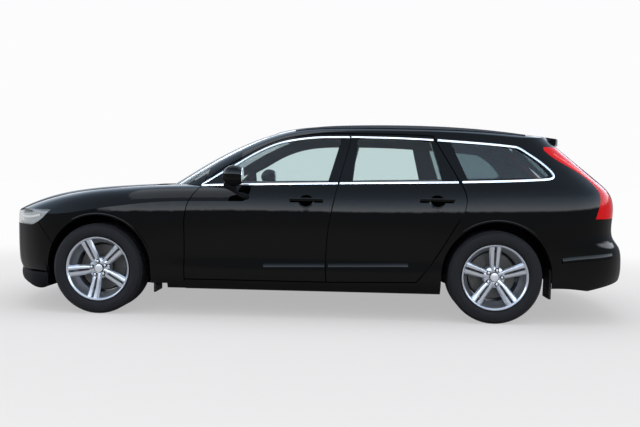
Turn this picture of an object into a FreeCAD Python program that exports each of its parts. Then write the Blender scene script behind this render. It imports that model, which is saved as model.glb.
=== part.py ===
import FreeCAD
import Part
import math
import os

# A five-door station wagon. Millimetres. The car faces -X, its left side is at -Y, and the ground is z = 0.

V = FreeCAD.Vector

# Wheels and axles
WHEELBASE = 2941.0
FRONT_AXLE_X = -1568.0
REAR_AXLE_X = FRONT_AXLE_X + WHEELBASE
HALF_TRACK = 814.0
TYRE_RADIUS = 339.0
TYRE_WIDTH = 245.0
BEAD_RADIUS = 229.0
RIM_LIP_RADIUS = 241.0
RIM_LIP_THICK = 7.0
RIM_WIDTH = 224.0
AXLE_Z = TYRE_RADIUS
SPOKE_PAIRS = 5
DISC_RADIUS = 172.0
DISC_THICK = 26.0
HUB_RADIUS = 36.0
ARCH_RADIUS = 398.0

# Wall thicknesses and clearances
SKIN = 22.0
DOOR_GAP = 8.0
PANEL_GAP = 5.0
SEAT_GAP = 0.3
RUN_GAP = 7.0
DOOR_FLANGE = 12.0
DOOR_DEPTH = 112.0
FRAME_DEPTH = 44.0
REBATE = 18.0
GLASS_INSET = 4.0
GLASS_THICK = 5.0
BELT_Z = 985.0
GROWN_POINTS = 11

# Waterlines: height, nose, half widths at the front axle, amidships and at the rear axle, and tail
WATERLINES = (
    (185, -2290, 868, 868, 868, 2330),
    (235, -2400, 912, 904, 912, 2420),
    (300, -2452, 930, 918, 930, 2457),
    (370, -2464, 937, 923, 934, 2467),
    (425, -2466, 938, 909, 934, 2467),
    (480, -2468, 939, 910, 935, 2465),
    (550, -2468, 940, 924, 936, 2452),
    (600, -2468, 940, 930, 936, 2400),
    (650, -2468, 940, 935, 936, 2378),
    (720, -2466, 938, 937, 935, 2378),
    (790, -2456, 931, 933, 932, 2388),
    (860, -2430, 914, 920, 922, 2392),
    (920, -2380, 892, 899, 906, 2382),
    (970, -2330, 866, 874, 886, 2358),
    (1015, -2280, 838, 852, 860, 2314),
    (1100, -2200, 800, 815, 818, 2212),
    (1200, -2200, 756, 772, 768, 2088),
    (1300, -2200, 712, 728, 717, 1966),
    (1390, -2200, 668, 684, 668, 1862),
    (1480, -2200, 620, 636, 615, 1760),
)

# Centre line of the bonnet, carried on along the belt, and how far it falls 700 mm out from the centre
BONNET_LINE = (
    (-2750, 400, 110), (-2540, 610, 110), (-2455, 752, 100), (-2340, 832, 88), (-2160, 894, 70),
    (-1950, 928, 40), (-1700, 952, 16), (-1450, 967, 9), (-1200, 981, 4), (-950, 986, 0),
    (-500, 992, 0), (200, 1006, 0), (900, 1022, 0), (1500, 1046, 0), (2000, 1062, 0), (2700, 1090, 0))
BONNET_ROLL = ((0, 0), (250, 0), (450, 0), (620, 2), (740, 8), (820, 28), (890, 85), (960, 190), (1080, 400))
BONNET_OUT = 700.0

# Centre line of the windscreen and roof, and how far it falls 650 mm out from the centre
ROOF_LINE = (
    (-2750, 70, 126), (-1700, 690, 126), (-1300, 925, 126), (-1140, 1022, 126), (-980, 1124, 124),
    (-780, 1239, 116), (-575, 1338, 104), (-370, 1413, 84), (-160, 1463, 64), (60, 1479, 52),
    (350, 1479, 45), (700, 1478, 44), (1050, 1472, 44), (1350, 1458, 45), (1650, 1436, 50),
    (1950, 1405, 56), (2700, 1290, 70))
ROOF_ROLL = ((0, 0), (250, 0), (450, 0), (570, 0), (650, 8), (715, 44), (780, 122), (880, 270), (1080, 560))
ROOF_OUT = 650.0


def clamped(count):
    """Knots and multiplicities of a cubic curve that starts and ends on its outer poles."""
    return [float(i) for i in range(count - 2)], [4] + [1] * (count - 4) + [4]


def pole_surface(rows):
    knots_u, mults_u = clamped(len(rows))
    knots_v, mults_v = clamped(len(rows[0]))
    surface = Part.BSplineSurface()
    surface.buildFromPolesMultsKnots(rows, mults_u, mults_v, knots_u, knots_v, False, False, 3, 3)
    return surface


def waterline_poles(level, inset):
    """Poles of one waterline, from the middle of the tail round the left side and nose and back."""
    z, nose, y_front, y_mid, y_rear, tail = level
    nose = nose + inset
    tail = tail - inset
    y_front = y_front - inset
    y_mid = y_mid - inset
    y_rear = y_rear - inset
    run = tail - REAR_AXLE_X
    half = [
        (nose, 0), (nose, 0.29 * y_front), (nose + 72, 0.565 * y_front), (nose + 205, 0.79 * y_front),
        (nose + 400, 0.945 * y_front), (FRONT_AXLE_X - 260, y_front - 4), (FRONT_AXLE_X, y_front),
        (FRONT_AXLE_X + 240, y_front), (-1080, 0.7 * y_front + 0.3 * y_mid), (-600, y_mid), (0, y_mid + 1),
        (600, y_mid + 1), (1000, 0.5 * (y_mid + y_rear)), (REAR_AXLE_X, y_rear),
        (REAR_AXLE_X + 0.36 * run, 0.988 * y_rear), (REAR_AXLE_X + 0.66 * run, 0.948 * y_rear),
        (REAR_AXLE_X + 0.87 * run, 0.835 * y_rear), (tail - 0.045 * run, 0.58 * y_rear),
        (tail, 0.3 * y_rear), (tail, 0)]
    left = [V(x, -y, z) for x, y in reversed(half)]
    right = [V(x, y, z) for x, y in half[1:]]
    return left + right


def outward(solid):
    if solid.Volume < 0:
        solid.reverse()
    return solid


def sides(inset):
    """Solid inside the car's side, nose and tail surface, drawn in by inset all round."""
    wall = pole_surface([waterline_poles(level, inset) for level in WATERLINES]).toShape()
    rims = [edge for edge in wall.Edges if edge.BoundBox.ZLength < 0.01]
    rims.sort(key=lambda edge: edge.BoundBox.ZMin)
    caps = [Part.Face(Part.Wire([rims[0]])), Part.Face(Part.Wire([rims[-1]]))]
    shell = Part.Shell([wall] + caps)
    shell.sewShape()
    return outward(Part.Solid(shell))


def above(line, roll, out):
    """Everything above a sheet that follows a centre line and falls away to both sides."""
    rows = []
    for x, z, fall in line:
        half = [(y, z - fall * (y / out) ** 2 - down) for y, down in roll]
        row = [V(x, -y, height) for y, height in reversed(half)]
        rows.append(row + [V(x, y, height) for y, height in half[1:]])
    return outward(pole_surface(rows).toShape().extrude(V(0, 0, 2200)))


def outline(plane, *runs):
    """Closed flat face from runs of points: two points give a line, more give a smooth curve."""
    edges = []
    for run in runs:
        points = [plane(a, b) for a, b in run]
        if len(points) == 2:
            edges.append(Part.makeLine(points[0], points[1]))
        else:
            curve = Part.BSplineCurve()
            curve.interpolate(points)
            edges.append(curve.toShape())
    return Part.Face(Part.Wire(edges))


def in_side(x, z):
    return V(x, 0, z)


def in_plan(x, y):
    return V(x, y, 0)


def in_end(y, z):
    return V(0, y, z)


def polygon(plane, *corners):
    points = [plane(a, b) for a, b in corners]
    return Part.Face(Part.makePolygon(points + [points[0]]))


def prism(face, low, high):
    """The flat face pushed through from low to high along the axis that it is square to."""
    normal = face.normalAt(0, 0)
    along = V(abs(round(normal.x)), abs(round(normal.y)), abs(round(normal.z)))
    start = face.copy()
    start.translate(along * low)
    return start.extrude(along * (high - low))


def grow(face, distance):
    """The outline moved out by a distance, with its curved runs drawn again as plain smooth curves."""
    edges = []
    for edge in face.makeOffset2D(distance).OuterWire.OrderedEdges:
        if isinstance(edge.Curve, (Part.Line, Part.Circle)):
            edges.append(edge)
        else:
            curve = Part.BSplineCurve()
            curve.interpolate(edge.discretize(GROWN_POINTS))
            edges.append(curve.toShape())
    return Part.Face(Part.Wire(Part.sortEdges(edges)[0]))


def moved(shape, x=0.0, y=0.0, z=0.0):
    copy = shape.copy()
    copy.translate(V(x, y, z))
    return copy


def box(x0, x1, y0, y1, z0, z1):
    return Part.makeBox(x1 - x0, y1 - y0, z1 - z0, V(x0, y0, z0))


def rounded_box(x0, x1, y0, y1, z0, z1, radius, axis):
    """Box with the four edges along one axis rounded."""
    block = box(x0, x1, y0, y1, z0, z1)
    edges = [e for e in block.Edges if abs(e.tangentAt(e.FirstParameter).dot(axis)) > 0.99]
    return block.makeFillet(radius, edges)


def rod(start, end, radius):
    line = end.sub(start)
    return Part.makeCylinder(radius, line.Length, start, line)


def mirrored(shape):
    return shape.mirror(V(0, 0, 0), V(0, 1, 0))


def both(shape):
    return Part.makeCompound([shape, mirrored(shape)])


def less(shape, *tools):
    """What is left of a shape when the tools are cut away one after the other."""
    for tool in tools:
        shape = shape.cut(tool)
    return shape


def biggest(shape):
    return max(shape.Solids, key=lambda solid: solid.Volume)


X_AXIS = V(1, 0, 0)
Y_AXIS = V(0, 1, 0)
Z_AXIS = V(0, 0, 1)
WIDE = 1100.0
INBOARD = 300.0
PARTS = {}


def side_pair(name, shape):
    PARTS[name + "_left"] = shape
    PARTS[name + "_right"] = mirrored(shape)


def left_prism(face):
    """A side-view outline pushed through the left half of the car."""
    return prism(face, -WIDE, -INBOARD)


# The whole car's outer form, and its left half, that every panel is cut from
OVER = above(BONNET_LINE, BONNET_ROLL, BONNET_OUT).common(above(ROOF_LINE, ROOF_ROLL, ROOF_OUT))
OUTER = sides(0.0).cut(OVER)
LEFT = OUTER.common(box(-3000, 3000, -WIDE, -INBOARD, 0, 2000))
LEFT_SLACK = moved(LEFT, y=-SEAT_GAP)

# Shut lines and window outlines in side view
DOOR_BOTTOM_Z = 276.0
WING_LINE = [(-912, DOOR_BOTTOM_Z), (-911, 450), (-909, 608), (-902, 791), (-868, 890), (-806, 975)]
B_LINE = [(147, DOOR_BOTTOM_Z), (146, 540), (173, 766), (228, 1005), (276, 1185), (326, 1383)]
C_LINE = [(930, 1371), (1020, 1205), (1112, 1034), (1156, 932), (1150, 836), (1090, 722), (978, 529),
          (872, 372), (806, DOOR_BOTTOM_Z + 14)]
CANT_FRONT = [(-806, 975), (-690, 1091), (-550, 1170), (-375, 1268), (-200, 1336), (24, 1374), (180, 1382),
              (326, 1383)]
CANT_REAR = [(326, 1383), (560, 1382), (760, 1378), (930, 1371)]
FRONT_DOOR = outline(in_side, WING_LINE, CANT_FRONT, B_LINE[::-1], [(147, DOOR_BOTTOM_Z), (-912, DOOR_BOTTOM_Z)])
REAR_DOOR = outline(in_side, B_LINE, CANT_REAR, C_LINE, [(806, DOOR_BOTTOM_Z + 14), (147, DOOR_BOTTOM_Z)])
FRONT_GLASS = outline(in_side, [(-640, 1003), (-640, 1084)],
                      [(-640, 1084), (-550, 1131), (-375, 1232), (-200, 1301), (24, 1338), (243, 1345)],
                      [(243, 1345), (150, 1018)], [(150, 1018), (-640, 1003)])
REAR_GLASS = outline(in_side, [(330, 1021), (368, 1346)], [(368, 1346), (640, 1343), (908, 1332)],
                     [(908, 1332), (988, 1040)], [(988, 1040), (330, 1021)])
QUARTER_GLASS = outline(in_side, [(1172, 1046), (1060, 1322)], [(1060, 1322), (1300, 1306), (1530, 1284)],
                        [(1530, 1284), (1690, 1180), (1770, 1085)], [(1770, 1085), (1740, 1068)],
                        [(1740, 1068), (1172, 1046)])

# Section of the space inside the doors, as half width and height
WAIST_IN = 923.0 - DOOR_DEPTH
RAIL_IN = 684.0 - FRAME_DEPTH
BELT_IN = 866.0 - FRAME_DEPTH


def cabin_void(further):
    """Room inside the doors and their frames, or that much further inboard."""
    half = [(WAIST_IN - further, 100), (WAIST_IN - further, BELT_Z - 60), (BELT_IN - further, BELT_Z),
            (RAIL_IN - further, 1390), (500, 1600)]
    ring = [(-y, z) for y, z in half] + [(y, z) for y, z in reversed(half)]
    return prism(polygon(in_end, *ring), -1500, 2200)


def door(face, opening):
    """A whole door: a thin outer flange out to the shut line and a deeper box inside it."""
    block = LEFT.common(left_prism(grow(face, -DOOR_GAP / 2)))
    inner = moved(LEFT, y=DOOR_FLANGE)
    flange = block.cut(inner)
    deep = inner.common(left_prism(grow(face, -DOOR_GAP / 2 - REBATE))).cut(cabin_void(0.0))
    return biggest(flange.fuse(deep).cut(left_prism(opening)))


def window(face):
    pane = moved(LEFT, y=GLASS_INSET).common(left_prism(grow(face, -SEAT_GAP)))
    return biggest(pane.cut(moved(LEFT, y=GLASS_INSET + GLASS_THICK)))


# Door handles stand over round cups in the skin
HANDLE_Z = 884.0
FRONT_HANDLE_X = -7.0
REAR_HANDLE_X = 946.0
HANDLE_RISE = 12.0
HANDLE_LENGTH = 244.0
HANDLE_HEIGHT = 24.0
HANDLE_STAND = 34.0
CUP_RADIUS = 85.0
CUP_DEPTH = 18.0


def skin_y(x, z):
    """Where the left side's surface lies at this place."""
    return LEFT.common(Part.makeLine(V(x, -WIDE, z), V(x, -INBOARD, z))).BoundBox.YMin


def handled(panel, x, z):
    """The door with a cup sunk into it and a pull bar over the cup."""
    y = skin_y(x, z)
    half = HANDLE_LENGTH / 2
    low = z - HANDLE_HEIGHT / 2
    cup = Part.makeSphere(CUP_RADIUS, V(x, y - CUP_RADIUS + CUP_DEPTH, z))
    bar = rounded_box(x - half, x + half, y - HANDLE_STAND, y - HANDLE_STAND + 17, low, low + HANDLE_HEIGHT, 7, X_AXIS)
    feet = [box(x + s * (half - 34) - 24, x + s * (half - 34) + 24, y - HANDLE_STAND + 9, y + 8, z - 9, z + 9)
            for s in (-1, 1)]
    return panel.cut(cup).fuse([bar] + feet)


# Hinge pins stand in pockets in the doors, each on an arm that grows out of the body
HINGE_Y = -923.0
FRONT_HINGE_X = -868.5
REAR_HINGE_X = 205.0
HINGE_LEVELS = (640.0, 760.0)
PIN_RADIUS = 5.0
POCKET_HALF = 25.0
ARM_HALF = 6.0
ARM_RISE = 15.0


def hinge_pockets(front_x, x):
    """Room in a door for its hinge pins and for the arms to swing in, from the door's front edge on."""
    return [box(front_x, x + 2 * ARM_HALF, HINGE_Y - PIN_RADIUS - 1, 6 - WAIST_IN, z - POCKET_HALF, z + POCKET_HALF)
            for z in HINGE_LEVELS]


def hinge_arms(x, reach_y, forward_x):
    """Pins on the hinge line, with arms that run inboard and, where asked, forward from there."""
    arms = []
    for z in HINGE_LEVELS:
        low = z - POCKET_HALF + SEAT_GAP
        arms.append(Part.makeCylinder(PIN_RADIUS, 2 * (POCKET_HALF - SEAT_GAP), V(x, HINGE_Y, low)))
        arms.append(box(x - ARM_HALF, x + ARM_HALF, HINGE_Y, reach_y, z - ARM_RISE, z + ARM_RISE))
        arms.append(box(forward_x, x + ARM_HALF, reach_y - 2 * ARM_HALF, reach_y, z - ARM_RISE, z + ARM_RISE))
    return arms


front_door = less(door(FRONT_DOOR, FRONT_GLASS), *hinge_pockets(-892, FRONT_HINGE_X))
rear_door = less(door(REAR_DOOR, REAR_GLASS), *hinge_pockets(160, REAR_HINGE_X))
side_pair("front_door", handled(front_door, FRONT_HANDLE_X, HANDLE_Z))
side_pair("rear_door", handled(rear_door, REAR_HANDLE_X, HANDLE_Z + HANDLE_RISE))
side_pair("front_door_glass", window(FRONT_GLASS))
side_pair("rear_door_glass", window(REAR_GLASS))
PARTS["quarter_glasses"] = both(window(QUARTER_GLASS))

# Door mirrors
MIRROR_X = -536.0
MIRROR_Z = 1072.0
MIRROR_OUT = 1009.5


def square_ring(x, y, z, half_x, half_y):
    ring = [V(x - half_x, y - half_y, z), V(x + half_x, y - half_y, z), V(x + half_x, y + half_y, z),
            V(x - half_x, y + half_y, z)]
    return Part.makePolygon(ring + [ring[0]])


def mirror():
    """Mirror head on a stalk that stands on the door skin below the glass."""
    rings = []
    for y, half_x, half_z in ((-880, 50, 36), (-900, 72, 48), (-940, 80, 51), (-985, 76, 46), (-MIRROR_OUT, 56, 28)):
        ellipse = Part.Wire([Part.Ellipse(V(0, 0, 0), half_x, half_z).toShape()])
        ellipse.rotate(V(0, 0, 0), X_AXIS, 90)
        ellipse.translate(V(MIRROR_X, y, MIRROR_Z))
        rings.append(ellipse)
    head = Part.makeLoft(rings, True).cut(box(MIRROR_X + 52, MIRROR_X + 200, -WIDE, -800, 900, 1200))
    y = skin_y(MIRROR_X + 50, 925)
    stalk = Part.makeLoft([square_ring(MIRROR_X + 40, y, 905, 34, 14), square_ring(MIRROR_X, -912, 1045, 40, 18)],
                          True, True)
    return biggest(head.fuse(stalk).cut(LEFT_SLACK))


side_pair("mirror", mirror())

# Bonnet, windscreen and roof in plan
BONNET_HINGE_X = -1195.0
BONNET_SIDE = [(-2352, -560), (-2300, -618), (-2160, -668), (-1900, -712), (-1600, -738), (BONNET_HINGE_X, -752)]
BONNET_NOSE = [(-2352, 560), (-2425, 380), (-2447, 0), (-2425, -380), (-2352, -560)]
BONNET_REAR = [(BONNET_HINGE_X, -752), (-1202, -600), (-1262, -300), (-1290, 0), (-1262, 300), (-1202, 600),
               (BONNET_HINGE_X, 752)]
BONNET_PLAN = outline(in_plan, BONNET_NOSE, BONNET_SIDE, BONNET_REAR, [(x, -y) for x, y in BONNET_SIDE[::-1]])
SCREEN_SIDE = [(-1030, -668), (-640, -622), (-262, -556)]
SCREEN_HEAD = [(-262, -556), (-300, -300), (-312, 0), (-300, 300), (-262, 556)]
SCREEN_FOOT = [(-1030, 668), (-1115, 570), (-1215, 300), (-1240, 0), (-1215, -300), (-1115, -570), (-1030, -668)]
SCREEN_PLAN = outline(in_plan, SCREEN_SIDE, SCREEN_HEAD, [(x, -y) for x, y in SCREEN_SIDE[::-1]], SCREEN_FOOT)
SCREEN_LEAN = 0.52
ROOF_HALF = 586.0
ROOF_END_X = 1815.0
ROOF_PLAN = polygon(in_plan, (-290, -ROOF_HALF), (ROOF_END_X, -ROOF_HALF), (ROOF_END_X, ROOF_HALF), (-290, ROOF_HALF))
GRILLE_TOP_Z = 742.0
NOSE_CUT_Z = GRILLE_TOP_Z + 8.0
ROOF_THICK = 24.0


def under_profile(runs):
    """Space under a panel, from its underside in side view."""
    return prism(outline(in_side, *runs), -WIDE, WIDE)


BONNET_UNDER = [(-2600, 640), (-2425, 730), (-2300, 782), (-2130, 824), (-1900, 866), (-1600, 914), (-1300, 938),
                (-1100, 946)]
bonnet = OUTER.common(prism(grow(BONNET_PLAN, -PANEL_GAP / 2), NOSE_CUT_Z, 1100))
bonnet = bonnet.cut(under_profile([BONNET_UNDER, [(-1100, 946), (-1100, 500)], [(-1100, 500), (-2600, 500)],
                                   [(-2600, 500), (-2600, 640)]]))
BONNET_PIN_X = -1200.0
BONNET_PIN_Z = 962.0
BONNET_PIN_Y = 642.0
bonnet = biggest(bonnet)
for s in (-1, 1):
    bonnet = bonnet.cut(box(BONNET_PIN_X - 14, -1100, s * BONNET_PIN_Y - 12, s * BONNET_PIN_Y + 12, 900, BONNET_PIN_Z + 7.5))
PARTS["bonnet"] = bonnet

screen_inset = GLASS_INSET + GLASS_THICK
screen = moved(OUTER, x=GLASS_INSET * SCREEN_LEAN, z=-GLASS_INSET).common(prism(grow(SCREEN_PLAN, -SEAT_GAP), 900, 1500))
PARTS["windscreen"] = biggest(screen.cut(moved(OUTER, x=screen_inset * SCREEN_LEAN, z=-screen_inset)))

ROOF_UNDER = [(-700, 1180), (-420, 1330), (-200, 1382), (60, 1402), (500, 1408), (1000, 1402), (1400, 1386),
              (1820, 1352)]
roof = OUTER.common(prism(ROOF_PLAN, 1200, 1600)).cut(prism(grow(SCREEN_PLAN, SEAT_GAP), 900, 1600))
roof = roof.cut(under_profile([ROOF_UNDER, [(1820, 1352), (1820, 1000)], [(1820, 1000), (-700, 1000)],
                               [(-700, 1000), (-700, 1180)]]))

# The tailgate hangs on two pins, on arms that come down and back from the end of the roof
GATE_HINGE_X = ROOF_END_X + 20.0
GATE_PIN_Z = 1400.0
GATE_PIN_Y = 165.0
gate_arms = []
gate_pockets = []
for s in (-1, 1):
    near = s * GATE_PIN_Y - 16
    far = s * GATE_PIN_Y + 16
    gate_arms.append(Part.makeCylinder(PIN_RADIUS, 32, V(GATE_HINGE_X, near, GATE_PIN_Z), Y_AXIS))
    gate_arms.append(box(GATE_HINGE_X - 5, GATE_HINGE_X + 5, near, far, 1364, GATE_PIN_Z))
    gate_arms.append(box(ROOF_END_X - 10, GATE_HINGE_X + 5, near, far, 1364, 1376))
    gate_pockets.append(box(ROOF_END_X, GATE_HINGE_X + 11, near - 5, far + 5, 1330, GATE_PIN_Z + 6.5))
PARTS["roof"] = biggest(roof.fuse(gate_arms))

# Headlamps, wings and front bumper
LAMP_SIDE = outline(in_side, [(-2700, 655), (-2111, 655)], [(-2111, 655), (-2004, 712), (-1944, 774)],
                    [(-1944, 774), (-2030, 778), (-2116, 774), (-2230, 762), (-2320, 750)],
                    [(-2320, 750), (-2700, 750)], [(-2700, 750), (-2700, 655)])
LAMP_INNER_Y = 410.0
LENS_THICK = 5.0
LAMP_FACE_DEPTH = 26.0
LAMP_DEPTH = 84.0
lamp_zone = prism(LAMP_SIDE, -WIDE, -LAMP_INNER_Y)
lamp = OUTER.common(prism(grow(LAMP_SIDE, -SEAT_GAP), -WIDE, -LAMP_INNER_Y - SEAT_GAP))
LENS_LEAN = 0.6
PARTS["headlamps"] = both(biggest(lamp.cut(moved(OUTER, x=LENS_THICK, y=LENS_THICK * LENS_LEAN))))
housing = moved(OUTER, x=LAMP_FACE_DEPTH, y=LAMP_FACE_DEPTH * LENS_LEAN).common(lamp)
PARTS["lamp_housings"] = both(biggest(housing.cut(moved(OUTER, x=LAMP_DEPTH, y=LAMP_DEPTH * LENS_LEAN))))

ARCH_Z = 344.0
FRONT_ARCH_X = FRONT_AXLE_X + 6.0
REAR_ARCH_X = REAR_AXLE_X + 10.0


def arch(x, radius):
    """Wheel arch cut out of one side, open to the ground."""
    drum = Part.makeCylinder(radius, WIDE - INBOARD, V(x, -WIDE, ARCH_Z), Y_AXIS)
    return drum.fuse(box(x - radius, x + radius, -WIDE, -INBOARD, -50, ARCH_Z))


LINER_THICK = 6.0
LINER_RADIUS = ARCH_RADIUS + 10.0
LINER_OUT_Y = 896.0


def liner_room(x):
    """Space that the panels leave for the wheel-arch liner, behind the lip of the arch."""
    room = Part.makeCylinder(LINER_RADIUS + LINER_THICK + 3, 400, V(x, -LINER_OUT_Y - 2, ARCH_Z), Y_AXIS)
    return room.common(box(x - 600, x + 600, -WIDE, 0, 295, 900))


BUMPER_IN = [(-1700, -905), (-1960, -872), (-2180, -738), (-2330, -540), (-2420, -300), (-2434, 0), (-2420, 300),
             (-2330, 540), (-2180, 738), (-1960, 872), (-1700, 905)]
front_void = prism(outline(in_plan, BUMPER_IN, [(-1700, 905), (-1700, -905)]), 0, 800)
wing_crown = prism(outline(in_side, [(-2400, 500), (-2400, 640)],
                           [(-2400, 640), (-2120, 730), (-1900, 796), (-1600, 852), (-1200, 890), (-700, 905)],
                           [(-700, 905), (-700, 500)], [(-700, 500), (-2400, 500)]), -800, 0)
WING_FACE = outline(in_side, [(-912, 200), (-912, DOOR_BOTTOM_Z)], WING_LINE, [(-806, 975), (-780, 1100)],
                    [(-780, 1100), (-2300, 1100)], [(-2300, 1100), (-2300, 740)], [(-2300, 740), (-2060, 700)],
                    [(-2060, 700), (-1900, 500)], [(-1900, 500), (-1900, 200)], [(-1900, 200), (-912, 200)])
WING_INNER_Y = 690.0
wing = LEFT.common(left_prism(grow(WING_FACE, -PANEL_GAP / 2)))
wing = less(wing, wing_crown, box(-1960, -700, -905, 0, 0, 640), lamp_zone, arch(FRONT_ARCH_X, ARCH_RADIUS),
            prism(grow(BONNET_PLAN, PANEL_GAP / 2), 740, 1100), box(-1200, -700, -WING_INNER_Y, 0, 200, 1200),
            liner_room(FRONT_ARCH_X), moved(LEFT, y=SKIN + 9, z=-SKIN - 9).common(box(-1055, -700, -WIDE, 0, 0, 1200)))
PARTS["front_wings"] = both(biggest(wing))

BUMPER_FACE = outline(in_side, [(-2700, 130), (-1800, 130)], [(-1800, 130), (-1800, 500)],
                      [(-1800, 500), (-1900, 500)], [(-1900, 500), (-2060, 700)], [(-2060, 700), (-2300, 740)],
                      [(-2300, 740), (-2700, 740)], [(-2700, 740), (-2700, 130)])
CHIN = polygon(in_side, (-2700, 0), (-2700, 300), (-2290, 199), (-2222, 160), (-1800, 150), (-1800, 0))
NOSE_NOTCH = polygon(in_side, (-2700, 452), (-2456, 430), (-2446, 414), (-2700, 340))
LIP_LOW_Z = 126.0
LIP_HIGH_Z = 192.0
LIP_THICK = 16.0
LIP_PLAN = [(-2100, -830), (-2180, -756), (-2240, -600), (-2268, -350), (-2276, 0)]
GRILLE_FACE = polygon(in_end, (-372, 736), (-398, 640), (-330, 440), (330, 440), (398, 640), (372, 736))
INTAKE_FACE = polygon(in_end, (-560, 330), (-480, 235), (480, 235), (560, 330))
arches = [arch(FRONT_ARCH_X, ARCH_RADIUS), mirrored(arch(FRONT_ARCH_X, ARCH_RADIUS))]
bumper = OUTER.common(prism(grow(BUMPER_FACE, -PANEL_GAP / 2), -WIDE, WIDE))
bumper = less(bumper, front_void, lamp_zone, mirrored(lamp_zone), prism(GRILLE_FACE, -2600, -2200),
              prism(INTAKE_FACE, -2600, -2200), prism(CHIN, -WIDE, WIDE), liner_room(FRONT_ARCH_X),
              mirrored(liner_room(FRONT_ARCH_X)), *arches, prism(NOSE_NOTCH, -WIDE, WIDE))
PARTS["front_bumper"] = biggest(bumper)

# Dark lip under the bumper, ahead of the front wheels
lip_front = LIP_PLAN + [(x, -y) for x, y in LIP_PLAN[-2::-1]]
lip_back = [(x + LIP_THICK, y * 0.985) for x, y in lip_front[::-1]]
lip = prism(outline(in_plan, lip_front, [lip_front[-1], lip_back[0]], lip_back, [lip_back[-1], lip_front[0]]),
            LIP_LOW_Z, LIP_HIGH_Z)
lip_rise = polygon(in_side, (-2400, 0), (-2400, 192), (-2290, 180), (-2140, 134), (-2000, LIP_LOW_Z), (-2000, 0))
PARTS["front_lip"] = biggest(lip.cut(prism(lip_rise, -WIDE, WIDE)))

# Grille: a frame in its opening with upright bars, and a mesh panel in the lower intake
BAR_COUNT = 21
BAR_PITCH = 34.0
BAR_WIDTH = 9.0
FRAME_WIDTH = 14.0


def behind_nose(depth, thick):
    """A layer that follows the nose, that deep inside it and that thick."""
    front = box(-2600, -2200, -700, 700, 100, 900)
    return moved(OUTER, x=depth).common(front).cut(moved(OUTER, x=depth + thick))


grille_hole = prism(grow(GRILLE_FACE, -FRAME_WIDTH), -2600, -2200)
frame = behind_nose(3, 28).common(prism(grow(GRILLE_FACE, -SEAT_GAP), -2600, -2200)).cut(grille_hole)
bars = [box(-2600, -2200, (i - (BAR_COUNT - 1) / 2) * BAR_PITCH - BAR_WIDTH / 2,
            (i - (BAR_COUNT - 1) / 2) * BAR_PITCH + BAR_WIDTH / 2, 400, 800) for i in range(BAR_COUNT)]
slats = behind_nose(9, 16).common(prism(grow(GRILLE_FACE, -FRAME_WIDTH / 2), -2600, -2200))
upper_grille = frame.fuse(slats.common(Part.makeCompound(bars)))
lower_grille = behind_nose(26, 10).common(prism(grow(INTAKE_FACE, -SEAT_GAP), -2600, -2200))
PARTS["grilles"] = Part.makeCompound([biggest(upper_grille), biggest(lower_grille)])

# Scuttle panel between bonnet and windscreen
scuttle = moved(OUTER, z=-14.0).common(box(-1300, -900, -WING_INNER_Y, WING_INNER_Y, 850, 1100))
scuttle = less(scuttle, moved(OUTER, z=-30.0), prism(grow(BONNET_PLAN, PANEL_GAP), 700, 1200),
               prism(grow(SCREEN_PLAN, SEAT_GAP), 700, 1600), box(-1300, -1150, -WING_INNER_Y, -600, 800, 1100),
               box(-1300, -1150, 600, WING_INNER_Y, 800, 1100))
PARTS["scuttle"] = biggest(scuttle)

# Tailgate, its glass and the spoiler lip over it
TAIL_SPLIT_Z = 600.0
SPOILER_THICK = 44.0
GATE_HALF = [(560, TAIL_SPLIT_Z), (628, 660), (664, 800), (682, 930), (672, 1040), (632, 1160), (588, 1290),
             (562, 1400)]
GATE_FACE = outline(in_end, [(-560, TAIL_SPLIT_Z), (560, TAIL_SPLIT_Z)], GATE_HALF, [(562, 1400), (562, 1500)],
                    [(562, 1500), (-562, 1500)], [(-562, 1500), (-562, 1400)], [(-y, z) for y, z in GATE_HALF[::-1]])
BACKLIGHT_FACE = outline(in_end, [(-560, 1050), (560, 1050)], [(560, 1050), (540, 1160), (490, 1310)],
                         [(490, 1310), (-490, 1310)], [(-490, 1310), (-540, 1160), (-560, 1050)])
GATE_UNDER = [(2270, 500), (2276, 760), (2262, 900), (2196, 1010), (2000, 1180), (1850, 1306), (1830, 1345)]
gate_void = under_profile([GATE_UNDER, [(1830, 1345), (1700, 1345)], [(1700, 1345), (1700, 500)],
                           [(1700, 500), (2270, 500)]])
gate = OUTER.common(prism(grow(GATE_FACE, -PANEL_GAP / 2), GATE_HINGE_X - 14, 2600))
gate = less(gate, gate_void, prism(BACKLIGHT_FACE, 1700, 2600), *gate_pockets)
spoiler_plan = outline(in_plan, [(1870, -540), (1870, 540)], [(1870, 540), (1893, 532)],
                       [(1893, 532), (1942, 380), (2052, 0), (1942, -380), (1893, -532)], [(1893, -532), (1870, -540)])
over_roof = above(ROOF_LINE, ROOF_ROLL, ROOF_OUT)
lip = moved(over_roof, z=-SPOILER_THICK).common(prism(spoiler_plan, 1200, 1600)).cut(over_roof)
fin_side = polygon(in_side, (1852, 1405), (1893, 1405), (1888, 1330), (1870, 1290), (1852, 1290))
fin = prism(fin_side, -540, -496).cut(over_roof)
gate = gate.fuse([lip, fin, mirrored(fin)])
PARTS["tailgate"] = biggest(gate)
GATE_LEAN = 0.8
pane = moved(OUTER, x=-GLASS_INSET, z=-GLASS_INSET * GATE_LEAN).common(prism(grow(BACKLIGHT_FACE, -SEAT_GAP), 1700, 2600))
PARTS["tailgate_glass"] = biggest(pane.cut(moved(OUTER, x=-screen_inset, z=-screen_inset * GATE_LEAN)))

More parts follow.
